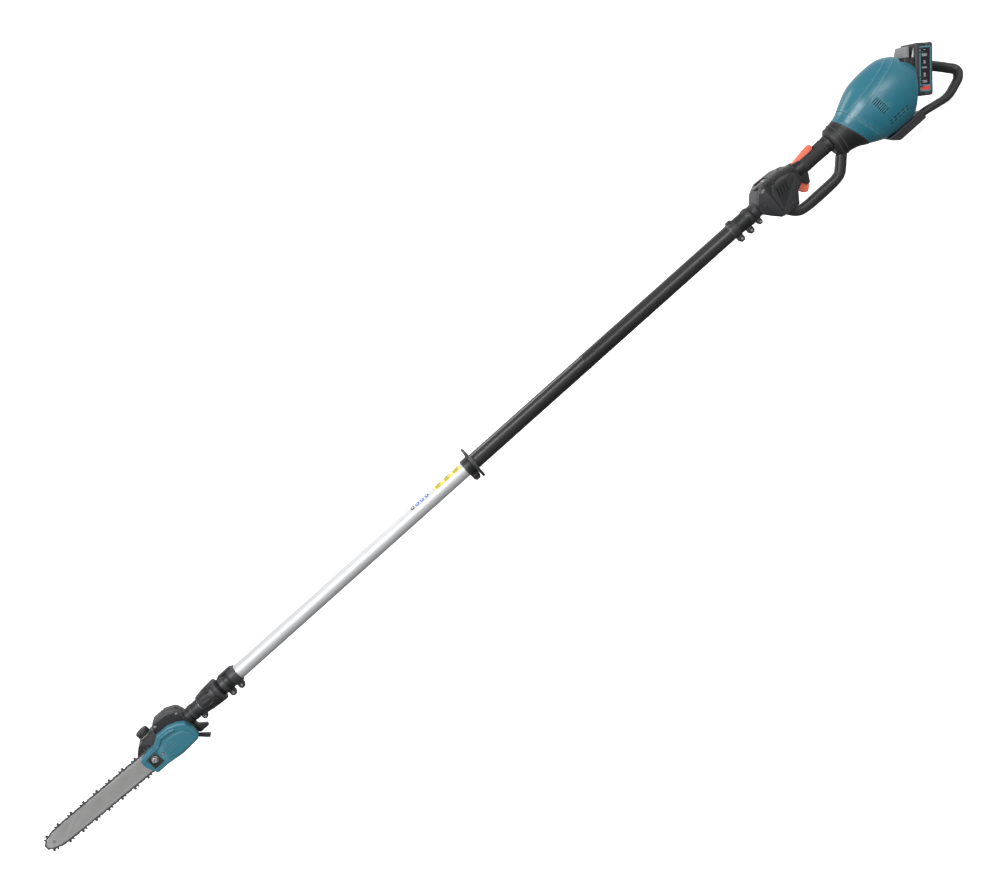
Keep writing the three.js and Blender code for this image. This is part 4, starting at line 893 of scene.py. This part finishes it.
def make_guide_bar():
    rim = [on_bar(u, v) for u, v in [(25, 11)] + rail(0, 62) + [(25, -11)]]
    bar = outlined("guide_bar", rim, BAR_Y - BAR_FACE, BAR_Y + BAR_FACE)
    bevelled(bar, 0.5, 2, 60)
    cuts = [outlined("slot", [on_bar(*p) for p in ((66, 4.6), (96, 4.6), (96, -4.6), (66, -4.6))], -30, -10,
                     corner=4),
            turned("pin_hole", [(-30, 2.4), (-10, 2.4)], on_bar(57, 11), "Y", 20),
            turned("pin_hole", [(-30, 2.4), (-10, 2.4)], on_bar(57, -11), "Y", 20)]
    # spot welds that hold the laminated bar together
    for u in (96, 130, 164, 198, 232, 266, 300):
        for v in (-9, 9):
            cuts.append(turned("weld_mark", [(-24, 2.2), (-23.15, 1.6)], on_bar(u + 30, v), "Y", 18))
    carved(bar, cuts[:3])
    carved(bar, [joined("weld_marks", cuts[3:])])
    groove = rail(-1.6, 62)
    lip = rail(-2.2, 62)
    carved(bar, [outlined("rail_line", [on_bar(*p) for p in groove + list(reversed(lip))], -24, -23.15)])
    finished(bar, "bar", "bar", "bar_steel", "guide_bar", angle=30)
    x, z = on_bar(375, 0)
    rivets = [turned("nose_rivet", [(-23.2, 4.4), (-23.6, 4.2), (-23.8, 3.2), (-23.5, 1.2)], (x, z), "Y", 32)]
    for k in range(4):
        a = math.pi / 4 + k * math.pi / 2
        spot = (x + 9.4 * math.cos(a), z + 9.4 * math.sin(a))
        rivets.append(turned("nose_pin", [(-23.2, 1.5), (-23.5, 1.4), (-23.6, 0.8)], spot, "Y", 18))
    for rivet in list(rivets):
        twin = copied(rivet, "nose_rivet_far")
        twin.data.transform(Matrix.Translation((0, 2 * BAR_Y * MM, 0)) @ Matrix.Diagonal((1, -1, 1, 1)))
        rivets.append(closed(twin))
    finished(joined("nose_rivets", rivets), "screw", "bar", "screw_steel")


def chain_line():
    """Points of the chain's inner line, the way round that keeps the links' outer side out."""
    rear = []
    for i in range(25):
        a = -math.pi / 2 - math.pi * i / 24
        rear.append((18.2 * math.cos(a), 18.2 * math.sin(a)))
    loop = [Vector(on_bar(*p)) for p in rail(0.5, 60, 30, 40) + rear]
    return list(reversed(loop))


def make_chain():
    line = chain_line()
    runs = [(line[(i + 1) % len(line)] - line[i]).length for i in range(len(line))]
    total = sum(runs)
    step = total / (2 * CHAIN_LINKS)

    def place(distance):
        distance %= total
        i = 0
        while distance > runs[i]:
            distance -= runs[i]
            i += 1
        ahead = (line[(i + 1) % len(line)] - line[i]).normalized()
        spot = line[i] + ahead * distance
        return spot, ahead

    def link_place(distance):
        """Matrix that lays a link's two rivets on the line, its outer side out."""
        before, _ = place(distance - RIVET_OFFSET)
        after, _ = place(distance + RIVET_OFFSET)
        ahead = (after - before).normalized()
        spot = (before + after) / 2
        return Matrix(((ahead.x, 0, -ahead.y, spot.x * MM), (0, 1, 0, BAR_Y * MM),
                       (ahead.y, 0, ahead.x, spot.y * MM), (0, 0, 0, 1)))

    drive = outlined("drive_link", [(-6.6, 1.2, 1), (-4.6, 4.2, 1), (-1.5, 3.4), (1.5, 3.4), (4.6, 4.2, 1),
                                    (6.6, 1.2, 1), (4, -0.2), (-4, -0.2)], -0.65, 0.65)
    strap = outlined("strap", [(-7.0, 2.3), (-5.6, 0.2), (-2.4, 0.6), (2.4, 0.6), (5.6, 0.2), (7.0, 2.3), (5.6, 4.6),
                               (2.2, 3.9), (-2.2, 3.9), (-5.6, 4.6)], -2.3, -1.1, bevel=0.25, steps=1)
    rivets = [turned("rivet", [(-2.4, 1.2), (-2.3, 1.5), (2.3, 1.5), (2.4, 1.2)], (s, 2.3), "Y", 10) 
              for s in (-RIVET_OFFSET, RIVET_OFFSET)]
    cutter = outlined("cutter", [(-7.0, 2.3), (-5.6, 0.2), (5.6, 0.2), (7.0, 2.3), (6.9, 5.2), (7.0, 8.2), (1.6, 8.4),
                                 (1.2, 5.4), (-0.4, 3.9), (-2.8, 4.3), (-4.4, 7.8), (-6.8, 7.4), (-7.2, 4.4)],
                      -2.3, -1.1, bevel=0.25, steps=1)
    top = outlined("cutter_top", [(1.6, 7.4), (7.0, 7.2), (7.0, 8.2), (1.6, 8.4)], -2.3, 0.9, bevel=0.2, steps=1)
    cutter = joined("cutter", [cutter, top])
    mirror = Matrix.Diagonal((1, -1, 1, 1))

    def far_copy(piece, name):
        return closed(moved(copied(piece, name), mirror))

    strap_far, cutter_far = far_copy(strap, "strap_far"), far_copy(cutter, "cutter_far")
    links = []
    for k in range(CHAIN_LINKS):
        drive_at, tie_at = link_place(CHAIN_START + 2 * k * step), link_place(CHAIN_START + (2 * k + 1) * step)
        links.append(moved(copied(drive, "link"), drive_at))
        if k % 2:
            near, far = strap, strap_far
        elif k % 4:
            near, far = cutter, strap_far
        else:
            near, far = strap, cutter_far
        links += [moved(copied(near, "link"), tie_at), moved(copied(far, "link"), tie_at)]
        links += [moved(copied(rivet, "link"), tie_at) for rivet in rivets]
    for source in [drive, strap, strap_far, cutter, cutter_far] + rivets:
        bpy.data.objects.remove(source)
    finished(joined("saw_chain_links", links), "chain", "bar", "dark_steel", "saw_chain", angle=35)


COVER = [(-2019, -12), (-2018, 6), (-1992, 10.5), (-1974, 11), (-1954, 24), (-1924, 23), (-1903, 15), (-1889, 4),
         (-1884, -20), (-1884, -36), (-1890, -43), (-1938, -45.5), (-1978, -40.5), (-2008, -40.5)]


def make_sprocket_cover():
    rim = bevelled(outlined("sprocket_cover", COVER, -43.8, -18.8, corner=6), 3.0, 5, 50)
    inside = outlined("inside", [(-2030, -44), (-2030, 8), (-1990, 8), (-1972, 7), (-1953, 20), (-1926, 19),
                                 (-1906, 12), (-1893, 2), (-1888, -20), (-1888, -36), (-1892, -41), (-1936, -42.2),
                                 (-1978, -50)], -27.6, -10, corner=4)
    square = [(-2005.4, -29.4), (-1978.6, -29.4), (-1978.6, -0.6), (-2005.4, -0.6)]
    seat = outlined("nut_seat", square, -50, -38.6, corner=2.5)
    hole = turned("tension_hole", [(-50, 3.6), (-20, 3.6)], TENSION_SCREW, "Y", 28)
    through = turned("stud_hole", [(-50, 8.6), (-20, 8.6)], BAR_NUT, "Y", 28)
    carved(rim, [inside, seat, hole, through])
    ridge = outlined("ridge", [(-1966, 9), (-1951, 18.4), (-1926, 17.6), (-1912, 12), (-1914, 7.6), (-1928, 11.4),
                               (-1949, 12), (-1962, 4)], -47.8, -42.5, corner=3)
    field = outlined("raised_field", [(-1962, -8), (-1946, 4), (-1922, 3.5), (-1903, -4), (-1894, -18), (-1891, -40),
                                      (-1938, -42), (-1962, -34)], -46.0, -42.5, corner=5)
    lip = outlined("cover_lip", [(-2013, 1), (-1992, 5.6), (-1973, 6), (-1966, 9), (-1962, 4), (-1972, 1.5),
                                 (-1992, 1.6), (-2012, -3)], -46.4, -42.5, corner=1.5)
    bevelled(ridge, 2.0, 4, 40)
    bevelled(field, 1.6, 4, 40)
    bevelled(lip, 1.3, 3, 40)
    ribs = [outlined("cover_rib", [(x, -1 - 0.3 * k), (x + 1.6, -1 - 0.3 * k), (x - 2.4, -22), (x - 4, -22)],
                     -46.9, -45.6) for k, x in enumerate(range(-1950, -1925, 5))]
    shell = joined("sprocket_cover_shell", [rim, ridge, field, lip] + ribs)
    finished(shell, "teal", "cover", "teal_plastic", "sprocket_cover", angle=30)
    surround = outlined("nut_surround", [(-2005, -29), (-1979, -29), (-1979, -1), (-2005, -1)], -44.6, -38.9,
                        corner=2.5)
    bevelled(surround, 0.9, 2, 40)
    well = turned("nut_well", [(-50, 10.6), (-40.4, 10.2)], BAR_NUT, "Y", 40)
    bore = turned("stud_bore", [(-50, 5.4), (-20, 5.4)], BAR_NUT, "Y", 28)
    carved(surround, [well, bore])
    finished(surround, "black", "cover", "black_plastic")
    turns = [math.radians(60 * k + 12) for k in range(6)]
    nut = outlined("bar_nut", [(BAR_NUT[0] + 7.4 * math.cos(a), BAR_NUT[1] + 7.4 * math.sin(a)) for a in turns],
                   -47.0, -40.2, bevel=0.8, steps=2)
    flange = turned("nut_flange", [(-40.6, 8.3), (-39.4, 8.3), (-38.4, 7.4)], BAR_NUT, "Y", 40)
    thread = turned("nut_bore", [(-50, 3.1), (-44.5, 3.1), (-44.4, 2.0)], BAR_NUT, "Y", 24)
    carved(nut, [thread])
    finished(joined("bar_nut", [nut, flange]), "screw", "nut", "screw_steel", "bar_nut", angle=30)
    # painted shade: the tension screw's head is coloured black to stand for the dark inside the hole it sits in
    tension = turned("tension_head", [(-37, 3.1), (-38.6, 3.1), (-39, 2.6)], TENSION_SCREW, "Y", 28)
    slot = outlined("blade_slot", [(-1973, -14.5), (-1965, -14.5), (-1965, -13.5), (-1973, -13.5)], -40, -38)
    carved(tension, [slot])
    finished(tension, "soft_black", "cover", "black_plastic")


# ---------- screws and the nodes kept from the frame ----------

def make_screws():
    groups = {
        "pole_screws": ("pole", [(-237.6, -26.5), (-209.3, -27), (-181.8, -25.5), (-1771, -26.5), (-1746, -26.5)]),
        "head_screws": ("head", [(-1853.5, -24.5)]),
    }
    for name, (body, spots) in groups.items():
        heads = []
        for x, z in spots:
            heads += [screw(x, z, -EAR_SIDE), screw(x, z, EAR_SIDE, 1, socket=False)]
        finished(joined(name, heads), "screw", body, "screw_steel")
    handle = [screw(x, z, -31.6, radius=3.4) for x, z in ((-158, 0), (-104, -38), (-72, 18), (-112, 27))]
    case = [screw(x, z, y, radius=3.2) for x, z, y in ((-1893, 27, -16.5), (-1947, 37, -17.5))]
    finished(joined("handle_screws", handle), "black", "pole", "dark_steel")
    finished(joined("case_screws", case), "screw", "head", "screw_steel")


def dress_kept_nodes():
    record_slots = {}
    for item in frame["record"].get("subparts") or []:
        record_slots[item.get("node") or item.get("name")] = item.get("material") or item.get("slot")
    for name, node in frame["nodes"].items():
        slot = record_slots.get(name)
        if slot not in SLOT_FINISH:
            slot = next((m.name for m in node.data.materials if m and m.name in SLOT_FINISH), "black_plastic")
        material = FINISHES[SLOT_FINISH[slot]]
        if not node.material_slots:
            node.data.materials.append(material)
        for material_slot in node.material_slots:
            material_slot.material = material


# ---------- stage, in metres ----------

CAMERA_ELEVATION = math.radians(14.0)
CAMERA_ROLL = math.radians(41.75)
CAMERA_DISTANCE = 3.2
VIEW_WIDTH = 2.25

def make_stage():
    drop = -sizes().floor_drop / MM
    floor = turned("studio_floor", [(drop, 11000), (drop + 250, 12500), (drop + 900, 13600), (drop + 2200, 14500),
                                    (drop + 16000, 15000)], along="Z", facets=96)
    edit(floor)
    bpy.ops.mesh.select_all(action="DESELECT")
    bpy.ops.object.mode_set(mode="OBJECT")
    for face in floor.data.polygons:
        face.select = len(face.vertices) > 4 and face.center.z > 1.0
    bpy.ops.object.mode_set(mode="EDIT")
    bpy.ops.mesh.delete(type="FACE")
    bpy.ops.object.mode_set(mode="OBJECT")
    bpy.ops.object.shade_smooth_by_angle(angle=math.radians(60))
    paper = Finish("studio paper", (0.93, 0.93, 0.935), 0.9)
    paper.tint(paper.noise(0.6, 2.0), 0.995, 1.0)
    paper.shader.inputs["Emission Color"].default_value = (1.0, 1.0, 1.0, 1.0)
    paper.shader.inputs["Emission Strength"].default_value = 0.52
    floor.data.materials.append(paper.material)
    floor.visible_diffuse = False
    floor.visible_glossy = False
    floor.visible_shadow = False

    world = bpy.data.worlds.new("studio")
    bpy.context.scene.world = world
    world.use_nodes = True
    tree = world.node_tree
    sky = tree.nodes["Background"]
    sky.inputs["Strength"].default_value = 1.0
    aim = tree.nodes.new("ShaderNodeTexCoord")
    parts = tree.nodes.new("ShaderNodeSeparateXYZ")
    height = tree.nodes.new("ShaderNodeMapRange")
    height.inputs["From Min"].default_value = -1.0
    ramp = tree.nodes.new("ShaderNodeValToRGB")
    stops = ramp.color_ramp.elements
    for stop, grey in zip(stops, (0.14, 0.55)):
        stop.color = (grey, grey, grey, 1.0)
    for place, grey in ((0.28, 0.30), (0.42, 0.46), (0.54, 0.80), (0.64, 1.0)):
        stops.new(place).color = (grey, grey, grey, 1.0)
    tree.links.new(aim.outputs["Generated"], parts.inputs["Vector"])
    tree.links.new(parts.outputs["Z"], height.inputs["Value"])
    tree.links.new(height.outputs["Result"], ramp.inputs["Fac"])
    tree.links.new(ramp.outputs["Color"], sky.inputs["Color"])

    def lamp(name, place, target, size, power):
        clear()
        bpy.ops.object.light_add(type="AREA", location=Vector(place))
        light = bpy.context.active_object
        light.name = name
        light.data.size = size
        light.data.energy = power
        light.rotation_euler = (Vector(target) - Vector(place)).to_track_quat("-Z", "Y").to_euler()

    lamp("key light", (-1.9, -3.0, 2.6), (-0.9, 0, 0), 1.1, 88)
    lamp("fill light", (1.0, -3.0, 1.6), (-0.1, 0, 0), 1.2, 30)
    lamp("rim light", (-0.9, 1.4, 3.0), (-0.9, 0, 0), 1.2, 26)

    elevation, roll, distance = CAMERA_ELEVATION, CAMERA_ROLL, CAMERA_DISTANCE
    back = Vector((0, math.cos(elevation), -math.sin(elevation)))
    up0 = Vector((0, math.sin(elevation), math.cos(elevation)))
    side = Vector((1, 0, 0))
    right = math.cos(roll) * side - math.sin(roll) * up0
    up = math.sin(roll) * side + math.cos(roll) * up0
    target = side * -0.955 + up0 * -0.013
    clear()
    bpy.ops.object.camera_add()
    camera = bpy.context.active_object
    camera.name = "studio camera"
    camera.matrix_world = Matrix((
        (right.x, up.x, -back.x, 0), (right.y, up.y, -back.y, 0), (right.z, up.z, -back.z, 0), (0, 0, 0, 1)))
    camera.location = target - back * distance
    camera.data.lens = camera.data.sensor_width * distance / VIEW_WIDTH
    camera.data.dof.use_dof = False
    camera.data.clip_end = 200.0
    bpy.context.scene.camera = camera
    bpy.context.scene.view_settings.view_transform = "Standard"


# ---------- operators ----------

class POLESAW_OT_finishes(bpy.types.Operator):
    """Makes the plastic, metal and label materials."""
    bl_idname = "pole_saw.finishes"
    bl_label = "Make finishes"
    bl_options = {"REGISTER", "UNDO"}

    def execute(self, context):
        make_finishes()
        return {"FINISHED"}


class POLESAW_OT_stage(bpy.types.Operator):
    """Adds the floor, the lamps and the camera."""
    bl_idname = "pole_saw.stage"
    bl_label = "Add stage"
    bl_options = {"REGISTER", "UNDO"}

    def execute(self, context):
        make_stage()
        return {"FINISHED"}


class POLESAW_OT_tubes(bpy.types.Operator):
    """Adds the outer tube, inner tube, grip sleeve and their labels."""
    bl_idname = "pole_saw.tubes"
    bl_label = "Add tubes"
    bl_options = {"REGISTER", "UNDO"}

    def execute(self, context):
        make_tubes()
        return {"FINISHED"}


class POLESAW_OT_barrier(bpy.types.Operator):
    """Adds the flanged ring that keeps the hand off the silver tube."""
    bl_idname = "pole_saw.barrier"
    bl_label = "Add hand barrier"
    bl_options = {"REGISTER", "UNDO"}

    def execute(self, context):
        make_barrier_ring()
        return {"FINISHED"}


class POLESAW_OT_rear_clamp(bpy.types.Operator):
    """Adds the clamp that joins the tube to the handle."""
    bl_idname = "pole_saw.rear_clamp"
    bl_label = "Add rear clamp"
    bl_options = {"REGISTER", "UNDO"}

    def execute(self, context):
        make_rear_clamp()
        return {"FINISHED"}


class POLESAW_OT_tube_lock(bpy.types.Operator):
    """Adds the tube lock's body, its fluted twist sleeve and the head's collar."""
    bl_idname = "pole_saw.tube_lock"
    bl_label = "Add tube lock"
    bl_options = {"REGISTER", "UNDO"}

    def execute(self, context):
        make_tube_lock()
        return {"FINISHED"}


class POLESAW_OT_handle(bpy.types.Operator):
    """Adds the handle halves, trigger, lock-off lever, display and mode button."""
    bl_idname = "pole_saw.handle"
    bl_label = "Add rear handle"
    bl_options = {"REGISTER", "UNDO"}

    def execute(self, context):
        make_handle()
        return {"FINISHED"}


class POLESAW_OT_loop_bar(bpy.types.Operator):
    """Adds the bar that guards the trigger hand."""
    bl_idname = "pole_saw.loop_bar"
    bl_label = "Add loop bar"
    bl_options = {"REGISTER", "UNDO"}

    def execute(self, context):
        make_loop_bar()
        return {"FINISHED"}


class POLESAW_OT_motor_covers(bpy.types.Operator):
    """Adds the black front cover and the two vented housing halves."""
    bl_idname = "pole_saw.motor_covers"
    bl_label = "Add motor covers"
    bl_options = {"REGISTER", "UNDO"}

    def execute(self, context):
        make_motor_covers()
        return {"FINISHED"}


class POLESAW_OT_rear_guard(bpy.types.Operator):
    """Adds the foot and the bar round the battery."""
    bl_idname = "pole_saw.rear_guard"
    bl_label = "Add rear guard"
    bl_options = {"REGISTER", "UNDO"}

    def execute(self, context):
        make_rear_guard()
        return {"FINISHED"}


class POLESAW_OT_battery(bpy.types.Operator):
    """Adds the battery's case, tray, release button and labels."""
    bl_idname = "pole_saw.battery"
    bl_label = "Add battery"
    bl_options = {"REGISTER", "UNDO"}

    def execute(self, context):
        make_battery()
        return {"FINISHED"}


class POLESAW_OT_gear_case(bpy.types.Operator):
    """Adds the gear case, oil tank, oil cap, branch hook and fin."""
    bl_idname = "pole_saw.gear_case"
    bl_label = "Add gear case"
    bl_options = {"REGISTER", "UNDO"}

    def execute(self, context):
        make_gear_case()
        return {"FINISHED"}


class POLESAW_OT_guide_bar(bpy.types.Operator):
    """Adds the guide bar and its nose rivets."""
    bl_idname = "pole_saw.guide_bar"
    bl_label = "Add guide bar"
    bl_options = {"REGISTER", "UNDO"}

    def execute(self, context):
        make_guide_bar()
        return {"FINISHED"}


class POLESAW_OT_chain(bpy.types.Operator):
    """Adds the saw chain, link by link."""
    bl_idname = "pole_saw.chain"
    bl_label = "Add saw chain"
    bl_options = {"REGISTER", "UNDO"}

    def execute(self, context):
        make_chain()
        return {"FINISHED"}


class POLESAW_OT_sprocket_cover(bpy.types.Operator):
    """Adds the sprocket cover and the bar nut."""
    bl_idname = "pole_saw.sprocket_cover"
    bl_label = "Add sprocket cover"
    bl_options = {"REGISTER", "UNDO"}

    def execute(self, context):
        make_sprocket_cover()
        return {"FINISHED"}


class POLESAW_OT_screws(bpy.types.Operator):
    """Adds the screws in the clamp ears, handle and gear case."""
    bl_idname = "pole_saw.screws"
    bl_label = "Add screws"
    bl_options = {"REGISTER", "UNDO"}

    def execute(self, context):
        make_screws()
        return {"FINISHED"}


class POLESAW_OT_kept_nodes(bpy.types.Operator):
    """Gives the frame's own remaining solids their finishes."""
    bl_idname = "pole_saw.kept_nodes"
    bl_label = "Finish kept nodes"
    bl_options = {"REGISTER", "UNDO"}

    def execute(self, context):
        dress_kept_nodes()
        return {"FINISHED"}


STEPS = (
    POLESAW_OT_finishes,
    POLESAW_OT_stage,
    POLESAW_OT_tubes,
    POLESAW_OT_barrier,
    POLESAW_OT_rear_clamp,
    POLESAW_OT_tube_lock,
    POLESAW_OT_handle,
    POLESAW_OT_loop_bar,
    POLESAW_OT_motor_covers,
    POLESAW_OT_rear_guard,
    POLESAW_OT_battery,
    POLESAW_OT_gear_case,
    POLESAW_OT_guide_bar,
    POLESAW_OT_chain,
    POLESAW_OT_sprocket_cover,
    POLESAW_OT_screws,
    POLESAW_OT_kept_nodes,
)


class POLESAW_PT_sidebar(bpy.types.Panel):
    """Sizes, colours and building steps of the pole saw"""
    bl_idname = "POLESAW_PT_sidebar"
    bl_label = "Pole Saw"
    bl_space_type = "VIEW_3D"
    bl_region_type = "UI"
    bl_category = "Pole Saw"

    def draw(self, context):
        layout = self.layout
        for title, group in (("Sizes", sizes()), ("Colours", colours())):
            box = layout.box()
            box.label(text=title)
            for key in type(group).__annotations__:
                box.prop(group, key)
        for step in STEPS:
            layout.operator(step.bl_idname)


CLASSES = (PoleSawSizes, PoleSawColours, *STEPS, POLESAW_PT_sidebar)


def register():
    for kind in CLASSES:
        bpy.utils.register_class(kind)
    bpy.types.Scene.pole_saw_sizes = PointerProperty(type=PoleSawSizes)
    bpy.types.Scene.pole_saw_colours = PointerProperty(type=PoleSawColours)


def unregister():
    del bpy.types.Scene.pole_saw_colours
    del bpy.types.Scene.pole_saw_sizes
    for kind in reversed(CLASSES):
        bpy.utils.unregister_class(kind)


def main():
    register()
    for step in STEPS:
        group, name = step.bl_idname.split(".")
        getattr(getattr(bpy.ops, group), name)()


if __name__ == "__main__":
    main()
